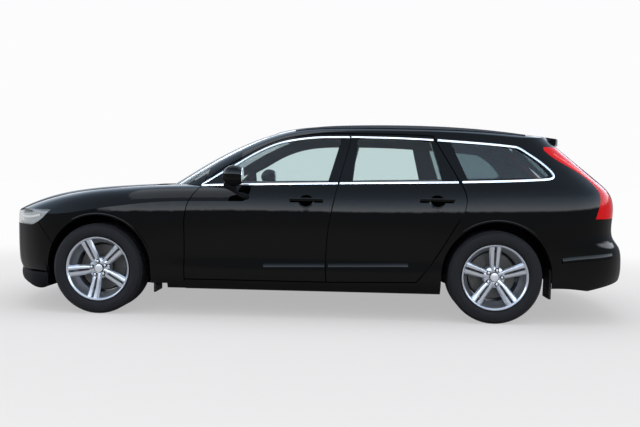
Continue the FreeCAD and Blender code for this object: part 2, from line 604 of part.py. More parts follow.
# Tail lamps and rear bumper
TAIL_LAMP_FACE = outline(in_side, [(1757, 1276), (1936, 1150), (2110, 1018), (2143, 955), (2130, 860), (2098, 772)],
                         [(2098, 772), (2600, 772)], [(2600, 772), (2600, 1300)], [(2600, 1300), (1757, 1300)],
                         [(1757, 1300), (1757, 1276)])
TAIL_LAMP_DEPTH = 40.0
gate_keepout = prism(grow(GATE_FACE, PANEL_GAP / 2), 1500, 2600)
tail_zone = left_prism(TAIL_LAMP_FACE)
tail_lamp = LEFT.common(left_prism(grow(TAIL_LAMP_FACE, -SEAT_GAP)))
tail_lamp = less(tail_lamp, moved(LEFT, x=-TAIL_LAMP_DEPTH, y=TAIL_LAMP_DEPTH / 2), gate_keepout)
PARTS["tail_lamps"] = both(biggest(tail_lamp))

REAR_BUMPER_FACE = outline(in_side, [(1500, 150), (1500, 500)], [(1500, 500), (1790, 545)],
                           [(1790, 545), (1950, 566), (2110, TAIL_SPLIT_Z - PANEL_GAP)],
                           [(2110, TAIL_SPLIT_Z - PANEL_GAP), (2600, TAIL_SPLIT_Z - PANEL_GAP)],
                           [(2600, TAIL_SPLIT_Z - PANEL_GAP), (2600, 150)], [(2600, 150), (1500, 150)])
REAR_IN = [(1500, -900), (1850, -894), (2120, -820), (2290, -680), (2390, -460), (2432, 0), (2390, 460), (2290, 680),
           (2120, 820), (1850, 894), (1500, 900)]
rear_void = prism(outline(in_plan, REAR_IN, [(1500, 900), (1500, -900)]), 0, 540)
rear_void = rear_void.fuse(moved(rear_void, z=200).common(box(1400, 2255, -WIDE, WIDE, 200, 740)))
TAIL_TUCK = polygon(in_side, (1500, 0), (1500, 196), (1877, 205), (2308, 300), (2600, 366), (2600, 0))
rear_bumper = OUTER.common(prism(REAR_BUMPER_FACE, -WIDE, WIDE))
rear_bumper = less(rear_bumper, rear_void, arch(REAR_ARCH_X, ARCH_RADIUS),
                   mirrored(arch(REAR_ARCH_X, ARCH_RADIUS)), prism(TAIL_TUCK, -WIDE, WIDE))
PARTS["rear_bumper"] = biggest(rear_bumper)

# Body sides: pillars, cant rail, sill and rear quarter as one pressing a side
SILL_TOP_Z = 290.0
SILL_IN = 748.0
QUARTER_IN = 846.0
SIDE_START_X = -1050.0
lower_void = prism(outline(in_plan, [(-1100, -WAIST_IN + 40), (840, -WAIST_IN + 40)],
                           [(840, -WAIST_IN + 40), (980, -QUARTER_IN)], [(980, -QUARTER_IN), (1700, -QUARTER_IN)],
                           [(1700, -QUARTER_IN), (2000, -800), (2200, -690), (2290, -560)], [(2290, -560), (2290, 0)],
                           [(2290, 0), (-1100, 0)], [(-1100, 0), (-1100, -WAIST_IN + 40)]), SILL_TOP_Z, BELT_Z - 20)
upper_half = [(QUARTER_IN - 40, BELT_Z - 30), (BELT_IN - 22, BELT_Z + 40), (RAIL_IN - 40, 1352), (ROOF_HALF - 40, 1384)]
upper_section = [(-y, z) for y, z in upper_half] + [(0, 1420), (0, BELT_Z - 30)]
upper_void = prism(polygon(in_end, *upper_section), -1200, 2400)
upper_void = upper_void.common(prism(polygon(in_side, (-1200, 850), (-900, 960), (-600, 1135), (-380, 1250),
                                             (-180, 1320), (100, 1384), (1550, 1384), (1700, 1320), (2050, 1010),
                                             (2200, 900)), -WIDE, 0))
upper_void = upper_void.common(prism(polygon(in_plan, (-1200, 0), (-1200, -WIDE), (1560, -WIDE), (1700, -800),
                                             (1880, -740), (2020, -660), (2160, -540), (2160, 0)), 700, 1500))
side = LEFT.common(box(SIDE_START_X, 2500, -WIDE, -350, 200, 1500))
side = less(side, lower_void, upper_void, box(SIDE_START_X, 2500, -SILL_IN, 0, 0, SILL_TOP_Z + 5))


def door_way(face, front_x):
    """What is cut from the body side for a door: its outline, less a lip that its seal closes on."""
    full = left_prism(grow(face, DOOR_GAP / 2))
    return (full.cut(moved(LEFT, y=DOOR_FLANGE + RUN_GAP)), left_prism(grow(face, RUN_GAP - DOOR_GAP / 2 - REBATE)),
            full.common(box(front_x - 20, front_x + 130, -WIDE, -INBOARD, 200, 900)))


wing_keepout = left_prism(grow(WING_FACE, PANEL_GAP / 2)).cut(moved(LEFT, y=SKIN + 14, z=-SKIN - 14))
side = less(side, *door_way(FRONT_DOOR, -912), *door_way(REAR_DOOR, 147), left_prism(QUARTER_GLASS), wing_keepout, prism(grow(SCREEN_PLAN, SEAT_GAP), 700, 1600),
            prism(grow(ROOF_PLAN, SEAT_GAP), 1200, 1600), tail_zone, gate_keepout,
            box(GATE_HINGE_X - 20, 2600, -590, 0, 1200, 1600), left_prism(grow(REAR_BUMPER_FACE, SEAT_GAP)),
            arch(REAR_ARCH_X, ARCH_RADIUS), liner_room(REAR_ARCH_X))
B_POST_FACE = outline(in_side, [(85, 240), (85, 540), (112, 766), (168, 1005), (216, 1185), (280, 1400)],
                      [(280, 1400), (400, 1400)], [(400, 1400), (346, 1185), (300, 1005), (256, 766), (240, 540),
                                                   (240, 240)], [(240, 240), (85, 240)])
POST_GAP = 14.0
POST_THICK = 45.0
post = cabin_void(POST_GAP).cut(cabin_void(POST_GAP + POST_THICK)).common(left_prism(B_POST_FACE))
side = side.fuse(post.common(box(-500, 900, -WIDE, -INBOARD, 0, 1392)))
side = side.fuse(hinge_arms(FRONT_HINGE_X, HINGE_Y + 56, -935) + hinge_arms(REAR_HINGE_X, -785, REAR_HINGE_X))
side = biggest(side)
PARTS["body_sides"] = both(side)

# Roof rails
RAIL_Y = 604.0
RAIL_FRONT_X = -120.0
RAIL_REAR_X = 1640.0
RAIL_WIDTH = 18.0
RAIL_RISE = 22.0


def roof_z(x, y):
    return LEFT.common(Part.makeLine(V(x, y, 1100), V(x, y, 1600))).BoundBox.ZMax


def roof_rail():
    """Low rail whose ends come down onto the roof edge."""
    stations = [i / 8 for i in range(9)]
    foot = [V(RAIL_FRONT_X + (RAIL_REAR_X - RAIL_FRONT_X) * s, -RAIL_Y, 0) for s in stations]
    base = [p + V(0, 0, roof_z(p.x, p.y)) for p in foot]
    top = [p + V(0, 0, RAIL_RISE * math.sin(math.pi * (0.12 + 0.76 * s))) for p, s in zip(base, stations)]
    upper = Part.BSplineCurve()
    upper.interpolate(top)
    lower = Part.BSplineCurve()
    lower.interpolate([p - V(0, 0, 30) for p in base])
    ring = [Part.makeLine(lower.StartPoint, upper.StartPoint), upper.toShape(),
            Part.makeLine(upper.EndPoint, lower.EndPoint), lower.toShape()]
    return biggest(Part.Face(Part.Wire(ring)).extrude(V(0, RAIL_WIDTH, 0)).cut(moved(OUTER, z=SEAT_GAP)))


PARTS["roof_rails"] = both(roof_rail())

# Floor with its tunnel and heel board, and the load floor behind it
FLOOR_Z = 200.0
FLOOR_THICK = 24.0
FLOOR_HALF = SILL_IN - SEAT_GAP
TUNNEL_HALF = 130.0
TUNNEL_TOP = 330.0
TUNNEL_WALL = 20.0
PIPE_START = V(-1300, 60, 236)
PIPE_END = V(1860, 60, 274)
PIPE_RADIUS = 28.0
pipe_room = rod(PIPE_START, PIPE_END, PIPE_RADIUS + 6)
floor = box(-1030, 880, -FLOOR_HALF, FLOOR_HALF, FLOOR_Z, FLOOR_Z + FLOOR_THICK)
floor = floor.fuse([rounded_box(-1030, 900, -TUNNEL_HALF, TUNNEL_HALF, FLOOR_Z, TUNNEL_TOP, 30, X_AXIS),
                    box(860, 900, -580, 580, FLOOR_Z, 520), box(860, 2250, -580, 580, 496, 520)])
floor = floor.cut(box(-1200, 860, -TUNNEL_HALF + TUNNEL_WALL, TUNNEL_HALF - TUNNEL_WALL, 0, TUNNEL_TOP - TUNNEL_WALL))
PARTS["floor_pan"] = floor.cut(pipe_room)
LOAD_FLOOR_Z = 620.0
PARTS["load_floor"] = box(1080, 2240, -590, 590, 520, LOAD_FLOOR_Z)

# Bulkhead and engine bay rails, engine and under tray
BULKHEAD_X = -1050.0
bay = box(BULKHEAD_X - 20, BULKHEAD_X, -680, 680, 190, 900)
bay = bay.cut(pipe_room)
bay = bay.fuse([box(-2260, BULKHEAD_X, -500, -470, 330, 740), box(-2260, BULKHEAD_X, 470, 500, 330, 740),
                box(-2300, -2260, -500, 500, 330, 620)])
for s in (-1, 1):
    bay = bay.fuse([Part.makeCylinder(PIN_RADIUS, 16, V(BONNET_PIN_X, s * BONNET_PIN_Y - 8, BONNET_PIN_Z), Y_AXIS),
                    box(BONNET_PIN_X - 5, BONNET_PIN_X + 5, s * BONNET_PIN_Y - 8, s * BONNET_PIN_Y + 8, 875, BONNET_PIN_Z),
                    box(BONNET_PIN_X - 5, BULKHEAD_X - 5, s * BONNET_PIN_Y - 8, s * BONNET_PIN_Y + 8, 875, 890)])
PARTS["engine_bay"] = bay
PARTS["engine_block"] = rounded_box(-2080, -1420, -330, 330, 226, 800, 30, Y_AXIS)
PARTS["under_tray"] = box(-2240, -1072, -470, 470, 165, 175)

STRUT_Y = 560.0
SPRING_RADIUS = 46.0


def liner(x, inner_y):
    """Moulded wheel-arch liner: a half drum with an inner wall."""
    wide = LINER_OUT_Y - inner_y
    drum = Part.makeCylinder(LINER_RADIUS + LINER_THICK, wide, V(x, -LINER_OUT_Y, ARCH_Z), Y_AXIS)
    room = Part.makeCylinder(LINER_RADIUS, wide - LINER_THICK, V(x, -LINER_OUT_Y, ARCH_Z), Y_AXIS)
    hole = Part.makeCylinder(170, 100, V(x, -inner_y - 50, 310), Y_AXIS)
    return less(drum, room, hole).common(box(x - 600, x + 600, -WIDE, 0, 300, 900))


rear_liner = biggest(liner(REAR_ARCH_X, 600.0))
front_liner = liner(FRONT_ARCH_X, 508.0)
front_liner = biggest(front_liner.cut(Part.makeCylinder(SPRING_RADIUS + 6, 400, V(FRONT_AXLE_X, -STRUT_Y, 500))))
PARTS["arch_liners"] = Part.makeCompound([front_liner, mirrored(front_liner), rear_liner, mirrored(rear_liner)])

# Suspension
cross = rounded_box(-1680, -1460, -420, 420, 180, 225, 10, Y_AXIS)
arms = []
for s in (-1, 1):
    arms.append(rod(V(FRONT_AXLE_X, s * 400, 208), V(FRONT_AXLE_X, s * 716, 202), 15))
    arms.append(rod(V(FRONT_AXLE_X, s * STRUT_Y, 200), V(FRONT_AXLE_X, s * STRUT_Y, 820), 22))
    arms.append(Part.makeCylinder(SPRING_RADIUS, 250, V(FRONT_AXLE_X, s * STRUT_Y, 540)))
PARTS["front_axle"] = cross.fuse(arms)
beam = rod(V(REAR_AXLE_X, -700, AXLE_Z), V(REAR_AXLE_X, 700, AXLE_Z), 30)
links = [rod(V(REAR_AXLE_X - 468, s * 480, 300), V(REAR_AXLE_X, s * 520, 330), 24) for s in (-1, 1)]
carriers = [box(REAR_AXLE_X - 45, REAR_AXLE_X + 45, min(s * 690, s * 730), max(s * 690, s * 730), AXLE_Z - 90,
                AXLE_Z + 90) for s in (-1, 1)]
PARTS["rear_axle"] = beam.fuse(links + carriers)


def knuckle():
    """Front hub carrier, left side, with its stub axle and steering arm."""
    post = rounded_box(FRONT_AXLE_X - 30, FRONT_AXLE_X + 30, -752, -718, AXLE_Z - 118, AXLE_Z + 118, 8, X_AXIS)
    stub = rod(V(FRONT_AXLE_X, -725, AXLE_Z), V(FRONT_AXLE_X, -HALF_TRACK + 38, AXLE_Z), 22)
    arm = rod(V(FRONT_AXLE_X + 10, -735, AXLE_Z - 60), V(FRONT_AXLE_X + 120, -700, AXLE_Z - 60), 12)
    kingpin = rod(V(FRONT_AXLE_X, -735, AXLE_Z - 135), V(FRONT_AXLE_X, -735, AXLE_Z + 135), 12)
    return post.fuse([stub, arm, kingpin])


side_pair("knuckle", knuckle())


# Wheels
def ring(profile, centre):
    """Solid of revolution about the wheel's axle from (radius, outboard) points."""
    points = [V(centre.x, centre.y - out, centre.z + radius) for radius, out in profile]
    return outward(Part.Face(Part.makePolygon(points + [points[0]])).revolve(centre, Y_AXIS, 360))


def tyre(centre):
    half = TYRE_WIDTH / 2
    flank = BEAD_RADIUS + 48
    shoulder = TYRE_RADIUS - 24
    bead = RIM_WIDTH / 2 - RIM_LIP_THICK
    return ring([(BEAD_RADIUS, 3 - bead), (RIM_LIP_RADIUS + 3, 1 - bead), (flank, -half), (shoulder, -half + 4),
                 (TYRE_RADIUS, -half + 22), (TYRE_RADIUS, half - 22), (shoulder, half - 4), (flank, half),
                 (RIM_LIP_RADIUS + 3, bead - 1), (BEAD_RADIUS, bead - 3)], centre)


def rim(centre, turn):
    """Cast rim: a barrel with two lips, a dished centre and five pairs of spokes."""
    half = RIM_WIDTH / 2
    edge = BEAD_RADIUS - SEAT_GAP
    seat = half - RIM_LIP_THICK
    barrel = ring([(edge, seat), (edge, -seat), (RIM_LIP_RADIUS, -seat), (RIM_LIP_RADIUS, -half), (edge - 16, -half),
                   (edge - 20, -half + 30), (edge - 20, half - 50), (edge - 16, half), (RIM_LIP_RADIUS, half),
                   (RIM_LIP_RADIUS, seat)], centre)
    hub = ring([(0, 62), (80, 58), (86, 40), (82, 14), (HUB_RADIUS, 14), (HUB_RADIUS, 30), (0, 30)], centre)
    spokes = []
    for pair in range(SPOKE_PAIRS):
        for lean in (-1, 1):
            corners = [(60, lean * 8 - 13), (60, lean * 8 + 13), (edge - 14, lean * 34 + 15), (edge - 14, lean * 34 - 15)]
            points = [V(centre.x + a, centre.y - 34, centre.z + b) for a, b in corners]
            spoke = Part.Face(Part.makePolygon(points + [points[0]])).extrude(V(0, -44, 0))
            spoke.rotate(centre, Y_AXIS, 360.0 / SPOKE_PAIRS * pair + turn)
            spokes.append(outward(spoke))
    return biggest(barrel.fuse([hub] + spokes))


def disc(centre):
    """Brake disc with its bell, which seats on the back of the rim's centre."""
    return ring([(HUB_RADIUS, 13.7), (84, 13.7), (84, -12), (DISC_RADIUS, -12), (DISC_RADIUS, -12 - DISC_THICK),
                 (76, -12 - DISC_THICK), (76, 4), (HUB_RADIUS, 4)], centre)


for end, x, turn in (("front", FRONT_AXLE_X, 43.0), ("rear", REAR_AXLE_X, 90.0)):
    centre = V(x, -HALF_TRACK, AXLE_Z)
    side_pair("tyre_" + end, tyre(centre))
    side_pair("rim_" + end, rim(centre, turn))
    side_pair("disc_" + end, disc(centre))

# Cabin
SEAT_Y = 375.0


def front_seat(y):
    cushion = rounded_box(-420, 80, y - 250, y + 250, 330, 480, 45, Y_AXIS)
    back = rounded_box(40, 180, y - 250, y + 250, 400, 1010, 45, Y_AXIS)
    back.rotate(V(60, y, 440), Y_AXIS, 18)
    head = rounded_box(225, 325, y - 130, y + 130, 1000, 1180, 35, Y_AXIS)
    base = box(-380, 60, y - 200, y + 200, FLOOR_Z + FLOOR_THICK, 345)
    return cushion.fuse([back, head, base])


PARTS["front_seats"] = both(front_seat(-SEAT_Y))
bench = rounded_box(420, 850, -640, 640, TUNNEL_TOP + 2, 490, 45, Y_AXIS)
bench_back = rounded_box(905, 1035, -575, 575, 552, 1010, 45, Y_AXIS)
bench_back.rotate(V(905, 0, 552), Y_AXIS, 14)
PARTS["rear_bench"] = bench.fuse([bench_back, box(840, 1000, -570, 570, 523, 600)])
dash = rounded_box(-1000, -640, -690, 690, 640, 930, 60, Y_AXIS)
PARTS["dashboard"] = dash.fuse(rounded_box(-660, 300, -110, 110, TUNNEL_TOP + SEAT_GAP, 560, 30, X_AXIS))

STEER_X = -560.0
STEER_Z = 860.0
STEER_TILT = 25.0
HOOP_RADIUS = 180.0


def steering_wheel():
    """Hoop, boss and three spokes, square to the raked column."""
    section = [(HOOP_RADIUS + 15 * math.cos(math.radians(a)), 15 * math.sin(math.radians(a)))
               for a in range(30, 390, 60)]
    points = [V(r, 0, z) for r, z in section]
    hoop = outward(Part.Face(Part.makePolygon(points + [points[0]])).revolve(V(0, 0, 0), Z_AXIS, 360))
    boss = Part.makeCylinder(52, 60, V(0, 0, -50))
    reach = HOOP_RADIUS - 6
    spokes = [box(-reach, -40, -14, 14, -12, 4), box(40, reach, -14, 14, -12, 4), box(-14, 14, -reach, -40, -12, 4)]
    wheel = hoop.fuse([boss] + spokes)
    wheel.rotate(V(0, 0, 0), Z_AXIS, 90)
    wheel.rotate(V(0, 0, 0), Y_AXIS, 90 - STEER_TILT)
    wheel.translate(V(STEER_X, -SEAT_Y, STEER_Z))
    return wheel


PARTS["steering_wheel"] = steering_wheel()

# Exhaust and mud flaps
silencer = rounded_box(1850, 2180, -420, 420, 250, 380, 40, Y_AXIS)
PARTS["exhaust"] = rod(PIPE_START, PIPE_END, PIPE_RADIUS).fuse(silencer)
flap_front = box(-1146, -1131, -900, -740, 170, 370)
flap_rear = box(1768, 1783, -890, -740, 185, 400)
PARTS["mud_flaps"] = Part.makeCompound([flap_front, mirrored(flap_front), flap_rear, mirrored(flap_rear)])

os.makedirs("parts", exist_ok=True)
for name, shape in PARTS.items():
    shape.exportStep("parts/" + name + ".step")
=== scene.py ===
import bpy
import math
from mathutils import Matrix, Vector


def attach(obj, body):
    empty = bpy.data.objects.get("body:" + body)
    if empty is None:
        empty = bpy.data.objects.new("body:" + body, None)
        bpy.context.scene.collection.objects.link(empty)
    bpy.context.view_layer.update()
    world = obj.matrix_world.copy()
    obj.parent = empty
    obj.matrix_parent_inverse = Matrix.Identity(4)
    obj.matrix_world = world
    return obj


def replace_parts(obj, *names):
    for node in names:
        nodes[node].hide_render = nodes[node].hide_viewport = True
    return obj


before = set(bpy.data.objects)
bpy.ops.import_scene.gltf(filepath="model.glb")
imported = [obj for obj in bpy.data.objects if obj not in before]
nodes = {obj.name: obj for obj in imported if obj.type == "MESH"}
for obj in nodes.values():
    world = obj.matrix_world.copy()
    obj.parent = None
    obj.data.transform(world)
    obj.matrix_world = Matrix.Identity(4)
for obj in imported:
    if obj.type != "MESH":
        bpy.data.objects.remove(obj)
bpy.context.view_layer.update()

# Body shell: steel and aluminium panels, pressed, welded and sprayed in black with a clear lacquer over it.
# The CAD panels are already the real shape, so they only take the paint.


def srgb(code):
    """Colour from a hex code, as Blender's linear values."""
    parts = [int(code[i:i + 2], 16) / 255 for i in (1, 3, 5)]
    return [p / 12.92 if p <= 0.04045 else ((p + 0.055) / 1.055) ** 2.4 for p in parts] + [1.0]


def add_node(mat, kind, inputs=None, **settings):
    """One shader node, with its settings and with a value or a link for each named input."""
    node = mat.node_tree.nodes.new(kind)
    for name, value in settings.items():
        setattr(node, name, value)
    for socket, value in (inputs or {}).items():
        if isinstance(value, bpy.types.NodeSocket):
            mat.node_tree.links.new(value, node.inputs[socket])
        else:
            node.inputs[socket].default_value = value
    return node


def surface(name, colour, roughness, metallic=0.0, **more):
    """A material on the standard surface shader."""
    mat = bpy.data.materials.new(name)
    mat.use_nodes = True
    shader = mat.node_tree.nodes["Principled BSDF"]
    shader.inputs["Base Color"].default_value = srgb(colour)
    shader.inputs["Roughness"].default_value = roughness
    shader.inputs["Metallic"].default_value = metallic
    for socket, value in more.items():
        shader.inputs[socket.replace("_", " ")].default_value = value
    return mat


def coat_nodes(mat, *names):
    """Gives one material to whole CAD nodes."""
    for name in names:
        for place in nodes[name].material_slots:
            place.material = mat


# Two-coat black car paint: a smooth lacquer over a deep black, which mirrors the room and has no colour of its own.
# The mirror fades from panels that face the eye to panels seen edge on, and once more at their very edges.
MIRROR_SLANTS = (0.45, 0.78)
MIRROR_LEVELS = (0.12, 0.007)
EDGE_SLANTS = (0.80, 0.92)
EDGE_SHARES = (1.0, 0.25)
car_paint = surface("sprayed black car paint", "#020303", 0.05, IOR=1.5)
slant = add_node(car_paint, "ShaderNodeLayerWeight", {"Blend": 0.5})
mirror = add_node(car_paint, "ShaderNodeMapRange", {0: slant.outputs["Facing"], 1: MIRROR_SLANTS[0],
                  2: MIRROR_SLANTS[1], 3: MIRROR_LEVELS[0], 4: MIRROR_LEVELS[1]})
skimmed = add_node(car_paint, "ShaderNodeMapRange", {0: slant.outputs["Facing"], 1: EDGE_SLANTS[0],
                   2: EDGE_SLANTS[1], 3: EDGE_SHARES[0], 4: EDGE_SHARES[1]})
level = add_node(car_paint, "ShaderNodeMath", {0: mirror.outputs[0], 1: skimmed.outputs[0]}, operation="MULTIPLY")
car_paint.node_tree.links.new(level.outputs[0],
                              car_paint.node_tree.nodes["Principled BSDF"].inputs["Specular IOR Level"])
coat_nodes(car_paint, "body_sides", "bonnet", "front_wings", "front_bumper", "rear_bumper", "roof", "tailgate",
           "front_door_left", "front_door_right", "rear_door_left", "rear_door_right", "mirror_left", "mirror_right")

# Windows: a laminated windscreen, toughened door glass tinted slightly green in the melt, and darker glass behind.
# The CAD panes are 5 mm thick and already curved with the body, and are bonded in or run in seals.
# The door glass is clear and cool in tone. Its low IOR keeps the mirrored room from washing out the cabin.
green_glass = surface("float glass with a green tint", "#DDE9E8", 0.0, Transmission_Weight=1.0, IOR=1.28)
# The rear glass is grey, so the load space behind it is only just seen.
dark_glass = surface("privacy glass, tinted in the melt", "#8FA0A4", 0.0, Transmission_Weight=1.0, IOR=1.4)
# The windscreen is seen almost edge on from the side, where two layers and a film look grey.
laminated = surface("laminated windscreen glass", "#9BA5AA", 0.0, Transmission_Weight=1.0, IOR=1.06)
coat_nodes(green_glass, "front_door_glass_left", "front_door_glass_right", "rear_door_glass_left",
           "rear_door_glass_right")
coat_nodes(laminated, "windscreen")
coat_nodes(dark_glass, "quarter_glasses", "tailgate_glass")

# Window surround: bright anodised strips round all the side glass, cut at the door gaps, over black rubber seals.
# Each strip is rolled to a domed section and clipped to the skin of the door or body that carries it.


def only(obj):
    """Leaves one object selected and active."""
    bpy.ops.object.select_all(action="DESELECT")
    obj.select_set(True)
    bpy.context.view_layer.objects.active = obj


def sheet_of(name, rows):
    """A grid of faces bent through the given rows of points."""
    bpy.ops.mesh.primitive_grid_add(x_subdivisions=len(rows[0]) - 1, y_subdivisions=len(rows) - 1, size=1.0)
    obj = bpy.context.object
    obj.name = name
    points = [point for row in rows for point in row]
    for vertex, point in zip(obj.data.vertices, points):
        vertex.co = point
    only(obj)
    return obj


def apply_modifier(obj, kind, **settings):
    """Puts a modifier with its settings on a piece and applies it."""
    only(obj)
    mod = obj.modifiers.new(kind.lower(), kind)
    for name, value in settings.items():
        setattr(mod, name, value)
    bpy.ops.object.modifier_apply(modifier=mod.name)


def smooth_path(points, steps=6):
    """The points joined by a smooth curve that runs through all of them."""
    ends = [Vector(points[0]) * 2 - Vector(points[1])] + [Vector(p) for p in points]
    ends.append(ends[-1] * 2 - ends[-2])
    path = []
    for a, b, c, d in zip(ends, ends[1:], ends[2:], ends[3:]):
        for i in range(steps):
            t = i / steps
            bend = (2 * a - 5 * b + 4 * c - d) * t ** 2 + (3 * b - a - 3 * c + d) * t ** 3
            path.append(((2 * b) + (c - a) * t + bend) / 2)
    return path + [ends[-2]]


def both_sides(piece, body):
    """Hangs a left-hand piece on its body, and a mirrored copy on the right-hand one."""
    other = piece.copy()
    other.data = piece.data.copy()
    bpy.context.collection.objects.link(other)
    other.name = piece.name.replace("_left", "_right")
    other.data.transform(Matrix.Scale(-1, 4, (0, 1, 0)))
    other.data.flip_normals()
    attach(piece, body)
    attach(other, body.replace("_left", "_right"))


# Across a strip: the place from one edge to the other, and the share of its full rise.
DOMED = [(-0.5, 0.0), (-0.4, 0.75), (0.0, 1.0), (0.4, 0.75), (0.5, 0.0)]
# A strip's edge keeps to its middle line where the skin drops away by more than this, at a window or a gap.
SKIN_STEP = 0.02
# The skin is looked for from well outside the car, straight across it.
LOOK_FROM_Y = -2.0
INWARD = Vector((0, 1, 0))
CREASE = math.radians(40)


def bead(name, target, path, width, rise, mat, body, bury=0.003, profile=DOMED):
    """A strip laid on the left skin of a node along a side-view path, and its mirror image on the right."""
    line = smooth_path(path)
    skin = [nodes[target].ray_cast(Vector((p.x, LOOK_FROM_Y, p.y)), INWARD) for p in line]
    struck = [i for i in range(len(line)) if skin[i][0]]
    rows = []
    for i, place in enumerate(line):
        ahead = (line[min(i + 1, len(line) - 1)] - line[max(i - 1, 0)]).normalized()
        across = Vector((-ahead.y, ahead.x))
        middle = skin[min(struck, key=lambda k: abs(k - i))][1].y
        row = []
        for part, lift in profile:
            x, z = place + across * (part * width)
            hit, point, _, _ = nodes[target].ray_cast(Vector((x, LOOK_FROM_Y, z)), INWARD)
            y = point.y if hit and abs(point.y - middle) < SKIN_STEP else middle
            row.append((x, y - lift * rise, z))
        rows.append(row)
    strip = sheet_of(name + "_left", rows)
    apply_modifier(strip, "SOLIDIFY", thickness=bury, offset=-1.0, use_even_offset=False)
    bpy.ops.object.mode_set(mode="EDIT")
    bpy.ops.mesh.select_all(action="SELECT")
    bpy.ops.mesh.normals_make_consistent(inside=False)
    bpy.ops.object.mode_set(mode="OBJECT")
    bpy.ops.object.shade_smooth_by_angle(angle=CREASE)
    strip.data.materials.append(mat)
    both_sides(strip, body)


# Bright anodising gives a clean white line with soft ends, and the seals a dull black one.
bright_trim = surface("bright anodised aluminium strip", "#D9DDE3", 0.2, metallic=0.7)
seal_rubber = surface("extruded black EPDM seal", "#0C0D0F", 0.5)
UPPER_WIDTH = 0.0078
QUARTER_WIDTH = 0.0110
LOWER_WIDTH = 0.0098
SEAL_WIDTH = 0.009
UPPER_RISE = 0.004
LOWER_RISE = 0.005
SEAL_RISE = 0.003
bead("upper_strip_front_left", "front_door_left", [
    (-0.818, 0.9785), (-0.780, 1.0020), (-0.665, 1.0740), (-0.550, 1.1405), (-0.375, 1.2415), (-0.200, 1.310),
    (0.024, 1.3475), (0.243, 1.3545), (0.302, 1.3550)], UPPER_WIDTH, UPPER_RISE, bright_trim, "front_door_left")
bead("upper_strip_rear_left", "rear_door_left", [
    (0.315, 1.3560), (0.640, 1.3525), (0.850, 1.3445), (0.931, 1.3405)], UPPER_WIDTH, UPPER_RISE, bright_trim,
    "rear_door_left")
bead("quarter_strip_left", "body_sides", [
    (0.963, 1.3390), (1.060, 1.3325), (1.300, 1.3165), (1.500, 1.2985), (1.565, 1.2860), (1.640, 1.2370),
    (1.712, 1.1840), (1.775, 1.1250), (1.800, 1.0870), (1.788, 1.0640), (1.740, 1.0550), (1.590, 1.0450),
    (1.461, 1.0385), (1.300, 1.0325), (1.131, 1.0265)], QUARTER_WIDTH, UPPER_RISE, bright_trim, "body")
bead("waist_strip_front_left", "front_door_left", [
    (-0.822, 0.9718), (-0.645, 0.9805), (-0.257, 0.9925), (0.100, 1.0015), (0.221, 1.0044)], LOWER_WIDTH,
    LOWER_RISE, bright_trim, "front_door_left")
bead("waist_strip_rear_left", "rear_door_left", [
    (0.236, 1.0049), (0.500, 1.0110), (0.752, 1.0170), (1.103, 1.0248)], LOWER_WIDTH, LOWER_RISE, bright_trim,
    "rear_door_left")
bead("waist_seal_front_left", "front_door_left", [
    (-0.640, 0.9945), (-0.257, 1.0055), (0.145, 1.0145)], SEAL_WIDTH, SEAL_RISE, seal_rubber, "front_door_left")
bead("waist_seal_rear_left", "rear_door_left", [
    (0.335, 1.0175), (0.660, 1.0270), (0.983, 1.0350)], SEAL_WIDTH, SEAL_RISE, seal_rubber, "rear_door_left")

# Mouldings that stand off the side: a strip low on the doors, a ridge along the rear bumper and a rolled lip round
# each wheel arch. They are pressed or moulded, sprayed with the body, and steep above with a long slope below.
WEDGED = [(-0.5, 0.0), (-0.4, 1.0), (-0.1, 0.8), (0.3, 0.35), (0.5, 0.0)]
DOOR_STRIP = (0.024, 0.006)
BUMPER_RIDGE = (0.036, 0.009)
bead("door_moulding_front_left", "front_door_left", [(-0.318, 0.3910), (-0.100, 0.3960), (0.134, 0.4010)],
     *DOOR_STRIP, car_paint, "front_door_left", profile=WEDGED)
bead("door_moulding_rear_left", "rear_door_left", [(0.160, 0.4015), (0.450, 0.4085), (0.743, 0.4160)],
     *DOOR_STRIP, car_paint, "rear_door_left", profile=WEDGED)
bead("bumper_ridge_left", "rear_bumper", [(1.850, 0.4720), (1.950, 0.4840), (2.100, 0.4950), (2.237, 0.5030)],
     *BUMPER_RIDGE, car_paint, "body", profile=WEDGED)

ARCH_Z = 0.344
ARCH_LINE = 0.4075
FRONT_ARCH_X = -1.562
REAR_ARCH_X = 1.383
ARCH_LIP = (0.013, 0.004)


def arch_line(centre_x, low, high):
    """Side-view points just outside a wheel arch, from one angle to the other, in degrees from the rear."""
    steps = [low + (high - low) * i / 10 for i in range(11)]
    return [(centre_x + ARCH_LINE * math.cos(math.radians(a)), ARCH_Z + ARCH_LINE * math.sin(math.radians(a)))
            for a in steps]


bead("front_arch_lip_left", "front_wings", arch_line(FRONT_ARCH_X, 22, 118), *ARCH_LIP, car_paint, "body")
bead("rear_arch_lip_left", "body_sides", arch_line(REAR_ARCH_X, 32, 128), *ARCH_LIP, car_paint, "body")

# Tail lamps: one red acrylic moulding a side, from the roof edge down round the corner of the tailgate, sealed to the
# body. A paler light guide runs down its middle, just proud of the outer face.
# Moulded acrylic is an even bright red, with a weak mirror so that the colour stays deep.
red_acrylic = surface("injection moulded red acrylic", "#E0181C", 0.15, Specular_IOR_Level=0.06)
coat_nodes(red_acrylic, "tail_lamps")
GUIDE = (0.016, 0.0016)
LAMP_BURY = 0.001
light_guide = surface("pale red acrylic light guide", "#FF4A44", 0.25, Specular_IOR_Level=0.1)
bead("tail_guide_left", "tail_lamps", [(1.830, 1.2470), (1.960, 1.1580), (2.090, 1.0620), (2.175, 0.9860)], *GUIDE,
     light_guide, "body", LAMP_BURY)

